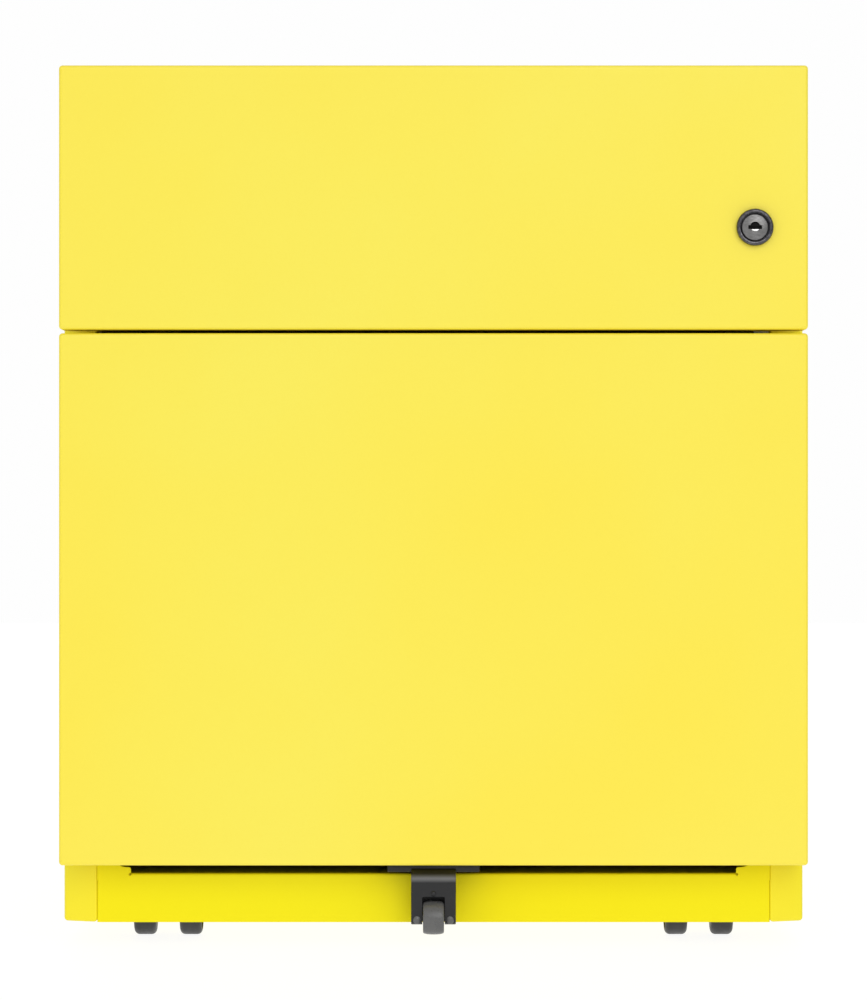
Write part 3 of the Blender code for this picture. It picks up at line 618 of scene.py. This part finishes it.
def screw_head(radius):
    """A pan-head screw with a cross recess, its seat at Z = 0."""
    height = 2.0 * MM
    dome = arc((0, 0), 1, 90, 0, 6)
    profile = [(radius * x, height * (0.35 + 0.65 * y)) for x, y in dome] + [(radius, 0), (0, 0)]
    head = lathe("screw_head", profile, steps=24)
    arm, width = radius * 0.62, radius * 0.2
    low, high = height * 0.4, height * 1.5
    for x, y in ((arm, width / 2), (width / 2, arm)):
        head = shape(head, block("cross", (-x, -y, low), (x, y, high), 0))
    return head


def screws(name, body, places, turn, radius=3.2 * MM):
    """A group of screws whose heads face along a turned Z axis."""
    wear(scatter(name, screw_head(radius), places, turn), body, ZINC_PLATE)


# ---------------- carcass

def folded_side(name, footprint, flange_end, low, high, sign):
    """A side folded from one sheet: its wall, slanted front, return edge and flanges."""
    form = bmesh.new()
    rows = [[form.verts.new((sign * x, y, z)) for x, y in footprint] for z in (low, high)]
    tail = [form.verts.new((sign * footprint[0][0], flange_end, z)) for z in (low, high)]
    form.faces.new((tail[0], rows[0][0], rows[1][0], tail[1]))
    for index in range(3):
        form.faces.new((rows[0][index], rows[0][index + 1], rows[1][index + 1], rows[1][index]))
    form.faces.new(rows[0])
    form.faces.new(rows[1])
    bmesh.ops.recalc_face_normals(form, faces=form.faces)
    form.faces.ensure_lookup_table()
    if form.faces[0].normal.x * sign < 0:
        bmesh.ops.reverse_faces(form, faces=form.faces)
    # The inner edge bends tighter, which keeps the seam beside the plinth thin
    weights = form.edges.layers.float.new("bevel_weight_edge")
    for edge in form.edges:
        seam = {rows[0][2], rows[1][2]} == set(edge.verts)
        edge[weights] = 0.66 if seam else 1.0
    piece = from_form(name, form)
    bevel(piece, 1.9 * MM, 4)
    piece.modifiers["Rounding"].limit_method = "WEIGHT"
    solidify(piece, STEEL)
    bevel(piece, RAW_EDGE)
    return settle(piece)


def side_panels():
    """Outer sides, each folded into a slanted finger grip, with flanges top and bottom."""
    for side, sign in SIDES.items():
        node = "side_panel_" + side
        low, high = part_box(node)
        inner, outer = across(node)
        inner -= SEAM
        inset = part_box("base_pan")[1].y
        footprint = [(outer, inset), (outer, low.y + GRIP_DEPTH), (inner, low.y),
                     (inner, low.y + GRIP_RETURN), (inner, inset)]
        cover = folded_side("side_cover_" + side, footprint, high.y, low.z, high.z, sign)
        wear(cover, "carcass", YELLOW_COAT, [node])


def top_cover():
    """The top, with softened edges and a lip turned down in front."""
    low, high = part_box("top_panel")
    grip_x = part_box("side_panel_right")[0].x
    cover = block("top_sheet", (low.x, low.y, high.z - STEEL), high, 0.55 * MM, 3)
    bend = 2.0 * MM
    outline = rounded([(low.y + 14 * MM, high.z - 0.1 * MM), (low.y + 0.2 * MM, high.z - 0.1 * MM),
                       (low.y + 0.2 * MM, low.z), (low.y + 8 * MM, low.z)], bend)
    half = grip_x - 0.3 * MM
    lip = strip("top_lip", outline, "X", -half, half, STEEL, -1)
    wear(gather("top_cover", [cover, lip]), "carcass", YELLOW_COAT, ["top_panel"])


def back_cover():
    """The back, a shallow pan with a pressed field and clinch marks along its edges."""
    low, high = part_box("back_panel")
    skin = pan("back_skin", low, high, [(0, -1, 0)], THIN, 1.2 * MM,
               field=((0, 1, 0), 24 * MM, 2.2 * MM, 2.4 * MM))
    radius = 2.8 * MM
    cap = [(0, radius)] + [(radius * x, 1.6 * MM * y) for x, y in arc((0, 0), 1, 0, -90, 6)]
    mark = lathe("mark", cap, steps=24)
    rows = 7
    inset = 12 * MM
    y = high.y + 0.75 * MM
    spots = []
    for row in range(rows):
        share = (row + 0.5) / rows
        for sign in SIDES.values():
            spots.append((sign * (high.x - inset), y, low.z + share * (high.z - low.z)))
    for column in range(1, rows - 1):
        share = (column + 0.5) / rows
        for z in (low.z + inset, high.z - inset):
            spots.append((low.x + share * (high.x - low.x), y, z))
    skin = shape(skin, scatter("marks", mark, spots, TURNS["Y"]))
    wear(skin, "carcass", YELLOW_COAT, ["back_panel"])


def base_cover():
    """The base pan and plinth rail, with folded ears, a front hem and the screws of the castors'
    seats.
    """
    low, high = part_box("base_pan")
    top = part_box("castor_front_left_plate")[1].z + 0.3 * MM + STEEL
    skin = pan("base_skin", low, (high.x, high.y, top), [(0, 0, -1)], STEEL, 1.3 * MM)
    ear_x = 171.5 * MM
    step_z = 43.2 * MM
    overlap = 4 * MM
    for side, sign in SIDES.items():
        ear = [(ear_x, top - overlap), (high.x, top - overlap), (high.x, high.z),
               (ear_x + 12 * MM, high.z)]
        ear += arc((ear_x + 2.2 * MM, step_z + 10 * MM), 10 * MM, -12, -88, 6)
        ear += arc((ear_x + 1.2 * MM, step_z - 1.2 * MM), 1.2 * MM, 90, 180, 4)
        wall = plate("ear_" + side, [mirrored(ear, sign)], STEEL, (0, low.y + STEEL / 2, 0))
        skin = shape(skin, wall, "UNION")
        relief = (sign * (ear_x + 0.5 * MM), low.y, top - 0.6 * MM)
        skin = bored(skin, 0.8 * MM, 6 * MM, relief, steps=20)
    hem = block("plinth_hem", (-high.x + 2 * MM, low.y + 0.4 * MM, low.z),
                (high.x - 2 * MM, low.y + 4.6 * MM, low.z + STEEL), 0.5 * MM, 3)
    skin = shape(skin, hem, "UNION")
    # Painted shade: the base pan wears the deeper, duller copy of the yellow coat, for the shadow
    # under the drawer fronts
    wear(skin, "carcass", YELLOW_COAT, ["base_pan"], "plinth_shaded_coat")
    places = []
    pitch = 15.5 * MM
    for corner in CORNERS:
        node = "castor_{}_plate".format(corner)
        middle = middle_of(node)
        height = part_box(node)[1].z - 2.0 * MM
        for dx in (-pitch, pitch):
            for dy in (-pitch, pitch):
                places.append((middle.x + dx, middle.y + dy, height))
    screws("castor_screws", "carcass", places, TURNS["-Z"], 2.9 * MM)


def uprights():
    """Channels inside the sides, each with a row of slots for the slides' hooks."""
    for side, sign in SIDES.items():
        for end in ("front", "rear"):
            node = "upright_{}_{}".format(end, side)
            low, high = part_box(node)
            inner, outer = across(node)
            outline = mirrored(channel(outer, inner, low.y, high.y, 1.6 * MM, 4), sign)
            post = strip("channel_{}_{}".format(end, side), outline, "Z", low.z, high.z,
                         STEEL, sign)
            middle = (low.y + high.y) / 2
            pitch = 32 * MM
            count = int((high.z - low.z - 30 * MM) / pitch)
            places = [(sign * inner, middle, low.z + 24 * MM + pitch * row)
                      for row in range(count + 1)]
            slot = block("slot", (-3 * MM, -2 * MM, -5.5 * MM), (3 * MM, 2 * MM, 5.5 * MM), 0)
            post = shape(post, scatter("slots", slot, places))
            wear(post, "carcass", ZINC_PLATE, [node])


# ---------------- slides

def slide_member(node, body, web_outside, groove):
    """A rolled slide member, its lips turned round the ball track."""
    low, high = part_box(node)
    sign = 1 if low.x > 0 else -1
    inner, outer = across(node)
    web, lip = (outer, inner) if web_outside else (inner, outer)
    outline = mirrored(channel(lip, web, high.z, low.z, groove, 5), sign)
    offset = -sign if web_outside else sign
    member = strip("rolled_" + node, outline, "Y", low.y, high.y, STEEL, offset)
    middle = (low.z + high.z) / 2
    places = [(sign * web, low.y + share * (high.y - low.y), middle)
              for share in (0.05, 0.16, 0.38, 0.62, 0.84, 0.95)]
    hole = rod("hole", 2.3 * MM, 8 * MM, (0, 0, 0), "X", 20, BORE_EDGE)
    member = shape(member, scatter("holes", hole, places))
    wear(member, body, ZINC_PLATE, [node])


def ball_cage(name, body, sign, x_ball, x_cage, z, track, radius, start, length):
    """Two rows of balls in a thin pressed cage."""
    arm = track + radius * 0.15
    reach = x_ball - 0.2 * MM if x_cage > x_ball else x_ball + 0.2 * MM
    outline = mirrored(channel(reach, x_cage, z + arm, z - arm, 0.8 * MM, 3), sign)
    cage = strip(name + "_strip", outline, "Y", start, start + length, 0.4 * MM, 0, 0)
    wear(cage, body, "black_nylon")
    form = bmesh.new()
    bmesh.ops.create_uvsphere(form, u_segments=14, v_segments=9, radius=radius)
    ball = settle(from_form("ball", form))
    pitch = radius * 4.4
    count = int(length / pitch) - 2
    places = [(sign * x_ball, start + pitch * (step + 1), z + level)
              for step in range(count + 1) for level in (-track, track)]
    wear(scatter(name + "_balls", ball, places), body, ZINC_PLATE)


def slides():
    """The rolled members and ball cages of both drawers' slides."""
    for side, sign in SIDES.items():
        slide_member("stationery_slide_outer_" + side, "carcass", True, 2.2 * MM)
        slide_member("stationery_slide_inner_" + side, "stationery_drawer", False, 1.8 * MM)
        slide_member("filing_slide_outer_" + side, "carcass", True, 2.2 * MM)
        slide_member("filing_slide_middle_" + side, "filing_slide_middle", True, 1.9 * MM)
        slide_member("filing_slide_inner_" + side, "filing_drawer", False, 1.8 * MM)
        low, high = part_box("stationery_slide_outer_" + side)
        z = (low.z + high.z) / 2
        start = low.y + 4 * MM      # where the cages of both slides begin
        ball_cage("stationery_cage_" + side, "carcass", sign, 180.4 * MM, 184.9 * MM, z,
                  14.15 * MM, 1.95 * MM, start, 130 * MM)
        low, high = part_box("filing_slide_outer_" + side)
        z = (low.z + high.z) / 2
        ball_cage("filing_outer_cage_" + side, "carcass", sign, 183.2 * MM, 186.6 * MM, z,
                  20.15 * MM, 1.05 * MM, start, 170 * MM)
        ball_cage("filing_inner_cage_" + side, "filing_slide_middle", sign, 180.7 * MM,
                  184.0 * MM, z, 16.55 * MM, 1.15 * MM, start, 170 * MM)


# ---------------- drawers

def drawer_front(kind):
    """The pressed front skin and the inner skin that closes it."""
    body = kind + "_drawer"
    low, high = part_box(kind + "_front")
    skin = pan(kind + "_front_skin", low, high, [(0, 1, 0)], STEEL, 2.0 * MM, 6)
    inner_low, inner_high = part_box(kind + "_liner")
    liner = pan(kind + "_inner_skin", inner_low, inner_high, [(0, -1, 0)], THIN, 1.0 * MM, 3)
    if kind == "stationery":
        centre = middle_of("lock_housing")
        centre.y = high.y
        skin = bored(skin, LOCK_BORE, 60 * MM, centre)
        liner = bored(liner, LOCK_BORE, 30 * MM, centre)
    wear(skin, body, YELLOW_COAT, [kind + "_front"], "front_coat")
    wear(liner, body, YELLOW_COAT, [kind + "_liner"], "front_coat")
    drawer_front_fittings(kind, body, inner_low, inner_high)


def drawer_front_fittings(kind, body, low, high):
    """Screws that hold the front to the tray, and the two rubber stops behind its edges."""
    tray_low, tray_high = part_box(kind + "_tray")
    rows = (tray_low.z + 22 * MM, tray_high.z - 24 * MM)
    places = [(x * (tray_high.x - 22 * MM), high.y, z) for x in (-1, -0.34, 0.34, 1) for z in rows]
    screws(kind + "_front_screws", body, places, TURNS["Y"])
    carcass_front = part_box("base_pan")[0].y
    depth = carcass_front - 0.3 * MM - high.y
    profile = [(0, depth), (2.6 * MM, depth), (3.4 * MM, depth - 0.6 * MM), (3.8 * MM, 0), (0, 0)]
    stop = lathe("stop", profile, axis="Y", steps=24)
    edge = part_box("side_panel_right")[0].x + 3.6 * MM
    spots = [(sign * edge, high.y, z) for sign in SIDES.values()
             for z in (low.z + 26 * MM, high.z - 30 * MM)]
    wear(scatter(kind + "_stops", stop, spots), body, "black_nylon")


def drawer_tray(kind, beads):
    """Floor and sides from one sheet, with hemmed top edges and pressed beads in the floor."""
    body = kind + "_drawer"
    low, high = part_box(kind + "_tray")
    hem = 2.6 * MM
    fold = 7 * MM
    half = [(-high.x + hem, high.z - fold), (-high.x + hem, high.z), (-high.x, high.z),
            (-high.x, low.z)]
    outline = half + [(-x, z) for x, z in reversed(half)]
    sheet = strip(kind + "_sheet", rounded(outline, 1.25 * MM, 5), "Y", low.y, high.y, THIN, 1)
    if kind == "stationery":
        corner = (high.x - 6 * MM, low.y - 2 * MM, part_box("lock_housing")[0].z - 4 * MM)
        notch = block("notch", corner, (high.x + 4 * MM, low.y + 26 * MM, high.z + 4 * MM),
                      0.2 * MM)
        sheet = shape(sheet, notch, solver="MANIFOLD")
    pieces = [sheet]
    back_low, back_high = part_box(kind + "_back")
    for bead in range(beads):
        x = (bead - (beads - 1) / 2) * (2 * high.x / beads)
        pieces.append(block("bead", (x - 5 * MM, low.y + 30 * MM, low.z + 0.4 * MM),
                            (x + 5 * MM, back_low.y - 26 * MM, low.z + THIN + 0.9 * MM),
                            0.8 * MM, 3))
    wear(gather(kind + "_tray_sheet", pieces), body, "grey_powder_coat", [kind + "_tray"])
    wall = pan(kind + "_rear_wall", back_low, back_high, [(0, -1, 0), (0, 0, 1)], THIN, 1.0 * MM)
    roll = block("roll", (back_low.x, back_high.y - 3 * MM, back_high.z - 3 * MM),
                 back_high, 0.9 * MM, 3)
    wear(gather(kind + "_rear_sheet", [wall, roll]), body, "grey_powder_coat", [kind + "_back"])
    rivet = button("rivet", [(0, 1.1), (1.2, 1.0), (2.2, 0.4), (2.3, -0.1), (0, -0.1)])
    spots = [(x * (high.x - 30 * MM), back_high.y, z) for x in (-1, -0.35, 0.35, 1)
             for z in (back_low.z + 12 * MM, back_high.z - 14 * MM)]
    wear(scatter(kind + "_rivets", rivet, spots, TURNS["Y"]), body, ZINC_PLATE)


def file_rails():
    """Rails for hanging files, each on three brackets."""
    for side, sign in SIDES.items():
        node = "file_rail_" + side
        low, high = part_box(node)
        rail = block("rail_" + side, low, high, 0.8 * MM, 3)
        wear(rail, "filing_drawer", ZINC_PLATE, [node])
        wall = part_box("filing_tray")[1].x - THIN
        ends = sorted((sign * across(node)[1], sign * wall))
        brackets = []
        half = 6 * MM
        for y in (low.y + 2 * half, (low.y + high.y) / 2, high.y - 2 * half):
            brackets.append(block("bracket", (ends[0], y - half, low.z + 1 * MM),
                                  (ends[1], y + half, low.z + 6 * MM), 0.4 * MM))
        wear(gather("rail_brackets_" + side, brackets), "filing_drawer", ZINC_PLATE)


# ---------------- lock

def lock():
    """The flanged housing, the plug with its keyway, the nut, cam, bar, guide and hooks."""
    low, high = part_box("lock_housing")
    middle = (low + high) / 2
    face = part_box("stationery_front")[0].y
    centre = (middle.x, face, middle.z)
    proud = face - low.y
    rim = (high.x - low.x) / 2
    plug_low, plug_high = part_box("lock_plug")
    seat = (plug_high.x - plug_low.x) / 2 + 0.25 * MM
    depth = face - high.y
    fillet = 1.5 * MM
    barrel = 8.5 * MM
    bore = 6.3 * MM
    floor = proud - 2.7 * MM
    profile = [(seat, proud - 0.5 * MM), (seat + 0.25 * MM, proud - 0.12 * MM),
               (seat + 0.8 * MM, proud)]
    profile += [(rim - fillet + fillet * math.sin(math.radians(angle)),
                 proud - fillet + fillet * math.cos(math.radians(angle)))
                for angle in range(15, 91, 15)]
    profile += [(rim, 0.6 * MM), (rim - 0.3 * MM, 0.3 * MM), (barrel, 0.3 * MM),
                (barrel, depth), (bore, depth), (bore, floor), (seat, floor)]
    housing = lathe("lock_shell", profile, centre, "-Y", 64, ring=True)
    wear(housing, "stationery_drawer", "black_nickel", ["lock_housing"])
    lock_plug_shape(centre, proud, seat - 0.3 * MM, face - plug_high.y)
    nut_middle = middle_of("lock_nut")
    across_corners, half = 12.5 * MM, 1.5 * MM
    nut = lathe("hex", [(0, half), (across_corners, half), (across_corners, -half), (0, -half)],
                nut_middle, "Y", 6)
    nut = bored(nut, LOCK_BORE, 9 * MM, nut_middle)
    bevel(nut, 0.35 * MM)
    wear(settle(nut), "stationery_drawer", ZINC_PLATE, ["lock_nut"])
    cam_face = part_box("lock_cam")[0].y + 2 * MM
    screws("cam_screw", "lock_plug", [(middle.x, cam_face, middle.z)], TURNS["Y"], 3.0 * MM)
    for node in ("lock_cam", "lock_bar", "stationery_lock_hook", "filing_lock_hook",
                 "lock_bar_guide"):
        keep(node, ZINC_PLATE)


def key_dome(name, radius, thickness, place):
    """A half-round plate facing the front, the shape of the key hole's upper part."""
    outline = [(x * MM, -z * MM) for x, z in arc((0, 0.4), radius, 180, 0, 14)]
    return plate(name, [outline], thickness, place, (math.radians(-90), 0, 0), 0.05 * MM)


def lock_plug_shape(centre, proud, radius, depth):
    """The plug's domed face, with a dished key hole, the keyway, its shutter, darkened as painted
    shade, and a zinc crescent low in the dish as a painted highlight.
    """
    face = proud - 0.3 * MM
    crown = 1.3 * MM
    neck = 6.0 * MM
    shoulder = proud - 2.3 * MM
    profile = [(share * radius, face - crown * share ** 2)
               for share in (0, 0.15, 0.3, 0.45, 0.6, 0.75, 0.88, 0.95)]
    profile += [(radius, face - crown - 0.3 * MM), (radius, shoulder), (neck, shoulder),
                (neck, depth), (0, depth)]
    plug = lathe("plug", profile, centre, "-Y", 64)
    x, y, z = centre[0], centre[1] - face, centre[2]
    recess = [(0, 1.2), (3.6, 1.2), (3.2, 0), (3.05, -0.3), (2.1, -0.6), (1.1, -0.9), (0, -0.95)]
    plug = shape(plug, button("dish", recess, (x, y, z), "-Y", 48))
    half = 3.85 * MM
    slot = block("slot", (x - half, y - 3 * MM, z - 1.1 * MM),
                 (x + half, y + 12 * MM, z + 1.1 * MM), 0.25 * MM, 2)
    plug = shape(plug, slot)
    plug = shape(plug, key_dome("pocket", 2.7, 8 * MM, (x, y + 3 * MM, z)))
    wear(plug, "lock_plug", "brushed_nickel", ["lock_plug"])
    shutter = key_dome("shutter_dome", 2.6, 1 * MM, (x, y + 1.6 * MM, z))
    reach = half - 0.1 * MM
    leaf = block("shutter_leaf", (x - reach, y + 1.8 * MM, z - 1.0 * MM),
                 (x + reach, y + 2.6 * MM, z + 1.0 * MM), 0.1 * MM)
    # Painted shade: the shutter wears a darker, duller copy of black nylon
    wear(gather("key_shutter", [shutter, leaf]), "lock_plug", "black_nylon",
         look="shutter_shaded_black")
    # A zinc crescent set into the dish's lower wall, paler than the plug: a painted highlight
    # where that wall catches the key light
    crescent = [(x * MM, z * MM) for x, z in arc((0, 1.5), 2.5, 210, 330, 12)]
    highlight_crescent = plate("key_crescent_highlight", [crescent], 0.5 * MM, (x, y + 0.3 * MM, z - 1.45 * MM),
                  (math.radians(78), 0, 0), 0.08 * MM)
    wear(highlight_crescent, "lock_plug", ZINC_PLATE)


# ---------------- stabiliser

def stabiliser():
    """The black bracket under the filing drawer and its grey anti-tilt wheel."""
    low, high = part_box("stabiliser_bracket")
    axle_low, axle_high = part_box("stabiliser_axle")
    wheel_low, wheel_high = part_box("stabiliser_wheel")
    axle = (axle_low + axle_high) / 2
    half = (axle_high.x - axle_low.x) / 2
    thick = 2.2 * MM
    knuckle = axle.y - low.y
    leg_top = high.z - thick + 0.2 * MM
    outline = rounded([(high.y - 2.5 * MM, leg_top), (low.y, leg_top), (low.y, axle.z)],
                      8 * MM, 10)
    outline += arc((axle.y, axle.z), knuckle, 190, 470, 18)
    strap = strip("strap", outline, "X", -half, half, thick * 0.98, -1, 0.5 * MM)
    slot_top = 28.4 * MM
    slot_low = (wheel_low.x - 0.4 * MM, low.y - 5 * MM, low.z - 8 * MM)
    slot_high = (wheel_high.x + 0.4 * MM, axle.y + 12 * MM, slot_top)
    strap = shape(strap, block("slot", slot_low, slot_high, 0.9 * MM, 3))
    toe = low.y + 6 * MM
    foot = level_plate("foot", (low.x, toe), high, thick, 3 * MM, 4)
    lip = block("lip", (low.x, toe, high.z - 4.3 * MM),
                (high.x, low.y + 7.6 * MM, high.z - 0.5 * MM), 0.5 * MM, 3)
    dimple = button("dimple", [(0, 0.9), (0.8, 0.75), (1.4, 0.35), (1.7, -0.1), (0, -0.1)],
                    (0, low.y + 0.05 * MM, slot_top + 1.7 * MM), "-Y")
    # Bosses at the axle pin's ends, in grey nylon though the bracket is black: painted highlights
    # where the knuckles catch the light
    highlight_boss = button("highlight_boss", [(0, 0.7), (1.2, 0.58), (2.0, 0.25), (2.3, -0.3), (0, -0.3)], steps=24)
    spots = [(x * 9.3 * MM, low.y + 0.1 * MM, axle.z - 0.9 * MM) for x in (-1, 1)]
    heads = scatter("stabiliser_pin_heads_painted_highlight", highlight_boss, spots, TURNS["-Y"])
    wear(heads, "filing_drawer", "grey_nylon")
    pocket = pan("pocket", (slot_low[0] - 0.9 * MM, low.y + thick + 0.1 * MM, low.z + 0.6 * MM),
                 (slot_high[0] + 0.9 * MM, low.y + 15 * MM, slot_top + 1.2 * MM),
                 [(0, -1, 0), (0, 0, -1)], 0.9 * MM, 1.2 * MM)
    wear(gather("stabiliser_arm", [strap, foot, lip, dimple, pocket]), "filing_drawer",
         "black_painted_steel", ["stabiliser_bracket"])
    spots = [(x * 19 * MM, y, high.z - thick)
             for x in (-1, 1) for y in (low.y + 18 * MM, high.y - 10 * MM)]
    head = button("rivet", [(0, 1.2), (1.6, 1.0), (2.6, 0.3), (2.7, -0.1), (0, -0.1)])
    heads = scatter("stabiliser_rivets", head, spots, TURNS["-Z"])
    wear(heads, "filing_drawer", "black_painted_steel")
    pin = rod("stabiliser_pin", (axle_high.z - axle_low.z) / 2, 2 * half, axle, "X", 32, 0.5 * MM)
    wear(pin, "filing_drawer", "black_painted_steel", ["stabiliser_axle"])
    rim = (wheel_high.z - wheel_low.z) / 2
    width = wheel_high.x
    bore = 2.1 * MM
    crown = 0.5 * MM
    hub = width - 0.2 * MM
    dish = width - 0.9 * MM
    profile = [(bore, hub), (3.8 * MM, hub), (4.2 * MM, dish), (rim - 2.6 * MM, dish),
               (rim - 2.2 * MM, width)]
    profile += arc((rim - 1.6 * MM, width - 1.1 * MM), 1.1 * MM, 90, 10, 5)
    profile += [(rim - crown + crown * math.cos(math.radians(angle)), width * 0.8 * x)
                for angle, x in ((50, 0.75), (25, 0.4), (0, 0))]
    tyre = profile + [(radius, -height) for radius, height in reversed(profile[:-1])]
    wheel = lathe("stabiliser_roller", tyre, axle, "X", 64, ring=True)
    wear(wheel, "stabiliser_wheel", "grey_nylon", ["stabiliser_wheel"])


# ---------------- castors

def castor_wheel(name, body, node, outside):
    """A moulded wheel: rounded tread, dished side with spokes, and a hub."""
    low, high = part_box(node)
    centre = (low + high) / 2
    half = (high.x - low.x) / 2
    rim = (high.z - low.z) / 2
    bore = 2.8 * MM
    shoulder = 3.0 * MM
    dish = 1.9 * MM
    hub = half - 0.3 * MM
    floor = half - dish
    profile = [(bore, hub), (4.6 * MM, hub), (5.0 * MM, floor), (rim - 3.6 * MM, floor),
               (rim - shoulder, half)]
    profile += arc((rim - shoulder, half - shoulder), shoulder, 80, 0, 7)
    outer = profile + arc((rim - shoulder, shoulder - half), shoulder, 0, -90, 7)
    outer += [(bore, -half)]
    if not outside:
        outer = [(radius, -height) for radius, height in reversed(outer)]
    wheel = lathe(name, outer, centre, "X", 56, ring=True)
    way = 1 if outside else -1
    spoke_low = (half - dish - 0.3 * MM, -0.7 * MM, 4.4 * MM)
    spoke_high = (half - 0.7 * MM, 0.7 * MM, rim - 3.2 * MM)
    spoke = block("spoke", spoke_low, spoke_high, 0.25 * MM)
    flip = Matrix.Scale(way, 4, (1, 0, 0))
    count = 6
    spokes = copies("spokes", spoke, [at(*centre) @ flip
                                      @ Matrix.Rotation(2 * math.pi * i / count, 4, "X")
                                      for i in range(count)])
    weld(spokes.data)
    wear(gather(name, [wheel, spokes]), body, "black_nylon", [node])


def castor_hood(body):
    """The moulded hood: an arched fender over both wheels, a web between them and a neck."""
    node = body + "_hood"
    low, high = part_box(node)
    axle = middle_of(body + "_axle")
    stem = middle_of(body + "_plate")
    stem_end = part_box(body + "_plate")[0].z
    inner = 15.9 * MM
    skin = 1.5 * MM
    outline = arc((axle.y, axle.z), inner + skin, 22, 165, 24)
    fender = strip("fender", outline, "X", low.x, high.x, skin, 1, 0.45 * MM)
    web = 6.0 * MM
    hub = rod("hub", 7.5 * MM, 2 * web, axle, "X", 40, 0.5 * MM)
    left = axle.x - web + 0.1 * MM
    right = axle.x + web - 0.1 * MM
    blade = block("blade", (left, axle.y - 13.5 * MM, axle.z - 1.0 * MM),
                  (right, axle.y + 9.2 * MM, axle.z + inner - 4.0 * MM), 0.8 * MM, 3)
    crown = block("crown", (left, axle.y - 10.5 * MM, axle.z + 5.0 * MM),
                  (right, axle.y + 4.0 * MM, axle.z + inner + 0.7 * MM), 0)
    collar_low = axle.z + inner + 0.6 * MM
    rim = 8.5 * MM
    chamfer = 0.6 * MM
    collar = lathe("collar", [(0, high.z), (rim - chamfer, high.z), (rim, high.z - chamfer),
                              (rim, collar_low), (0, collar_low)], (stem.x, stem.y, 0))
    neck = rod("neck", 5.8 * MM, collar_low - axle.z - 7 * MM,
               (stem.x, stem.y, (collar_low + axle.z + 8 * MM) / 2), "Z", 40)
    hood = fender
    for part in (hub, blade, crown, neck, collar):
        hood = shape(hood, part, "UNION")
    length = 30 * MM
    hood = bored(hood, 2.8 * MM, length, axle, "X", 32)
    stem_middle = (stem.x, stem.y, stem_end - 0.3 * MM + length / 2)
    hood = bored(hood, 4.3 * MM, length, stem_middle, "Z", 32)
    wear(hood, body, "black_nylon", [node])


def castor(place):
    """A twin-wheel castor: its plate and stem, hood, axle and wheels."""
    body = "castor_" + place
    castor_hood(body)
    node = body + "_axle"
    low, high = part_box(node)
    pin = rod("pin_" + place, (high.z - low.z) / 2, high.x - low.x, (low + high) / 2, "X", 28,
              0.5 * MM)
    wear(pin, body, ZINC_PLATE, [node])
    node = body + "_plate"
    low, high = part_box(node)
    middle = (low + high) / 2
    thick = 2.0 * MM
    base = level_plate("seat", low, high, thick, 4 * MM, 5)
    top = high.z - thick / 2
    shaft = rod("stem", 4.0 * MM, top - low.z, (middle.x, middle.y, (top + low.z) / 2), "Z", 32,
                0.4 * MM)
    wear(gather("seat_" + place, [base, shaft]), "carcass", ZINC_PLATE, [node])
    for side, sign in SIDES.items():
        node = "{}_wheel_{}".format(body, side)
        castor_wheel("tread_{}_{}".format(place, side), node, node, sign > 0)


# ---------------- stage

def sky_lamp(name, azimuth, height, spread, strength):
    """An even light from far away: its direction and its spread in degrees."""
    lamp = bpy.data.lights.new(name, "SUN")
    lamp.angle = math.radians(spread)
    lamp.energy = strength
    light = link_new(name, lamp)
    light.rotation_euler = (math.radians(90 - height), 0, math.radians(azimuth))


def studio():
    """A bright pale floor, a white surround and soft lights, the key from the upper right."""
    half = 6.0
    top = -0.2 * MM             # just clear of the wheels
    floor = from_form("floor", box_form((-half, -half, -0.02), (half, half, top)))
    floor.data.materials.append(floor_finish())
    world = bpy.data.worlds.new("studio")
    world.use_nodes = True
    tree = world.node_tree
    surround = tree.nodes["Background"]
    surround.inputs["Color"].default_value = (1, 1, 1, 1)
    direction = tree.nodes.new("ShaderNodeTexCoord").outputs["Generated"]
    height = tree.nodes.new("ShaderNodeSeparateXYZ")
    tree.links.new(direction, height.inputs["Vector"])
    light = tree.nodes.new("ShaderNodeMapRange")
    light.inputs["To Min"].default_value = HORIZON_LIGHT
    light.inputs["To Max"].default_value = ZENITH_LIGHT
    tree.links.new(height.outputs["Z"], light.inputs["Value"])
    backdrop = tree.nodes.new("ShaderNodeMapRange")
    backdrop.inputs["To Max"].default_value = BACKDROP
    tree.links.new(light.outputs["Result"], backdrop.inputs["To Min"])
    seen = tree.nodes.new("ShaderNodeLightPath")
    tree.links.new(seen.outputs["Is Camera Ray"], backdrop.inputs["Value"])
    tree.links.new(backdrop.outputs["Result"], surround.inputs["Strength"])
    bpy.context.scene.world = world
    sky_lamp("key", *KEY_LIGHT)
    sky_lamp("fill", *FILL_LIGHT)


def camera():
    """A camera square to the fronts, at the photograph's distance and height."""
    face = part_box("filing_front")[0].y
    lens = bpy.data.cameras.new("camera")
    lens.sensor_width = SENSOR
    lens.lens = SENSOR * CAMERA_DISTANCE / FRAME_HEIGHT
    lens.clip_start = 0.1
    view = link_new("camera", lens)
    view.location = (0, face - CAMERA_DISTANCE, CAMERA_HEIGHT)
    view.rotation_euler = (math.radians(90), 0, 0)
    bpy.context.scene.camera = view
    bpy.context.scene.view_settings.view_transform = "Standard"


studio()
camera()
side_panels()
top_cover()
back_cover()
base_cover()
uprights()
slides()
for drawer, beads in (("stationery", 3), ("filing", 4)):
    drawer_front(drawer)
    drawer_tray(drawer, beads)
file_rails()
lock()
stabiliser()
for corner in CORNERS:
    castor(corner)
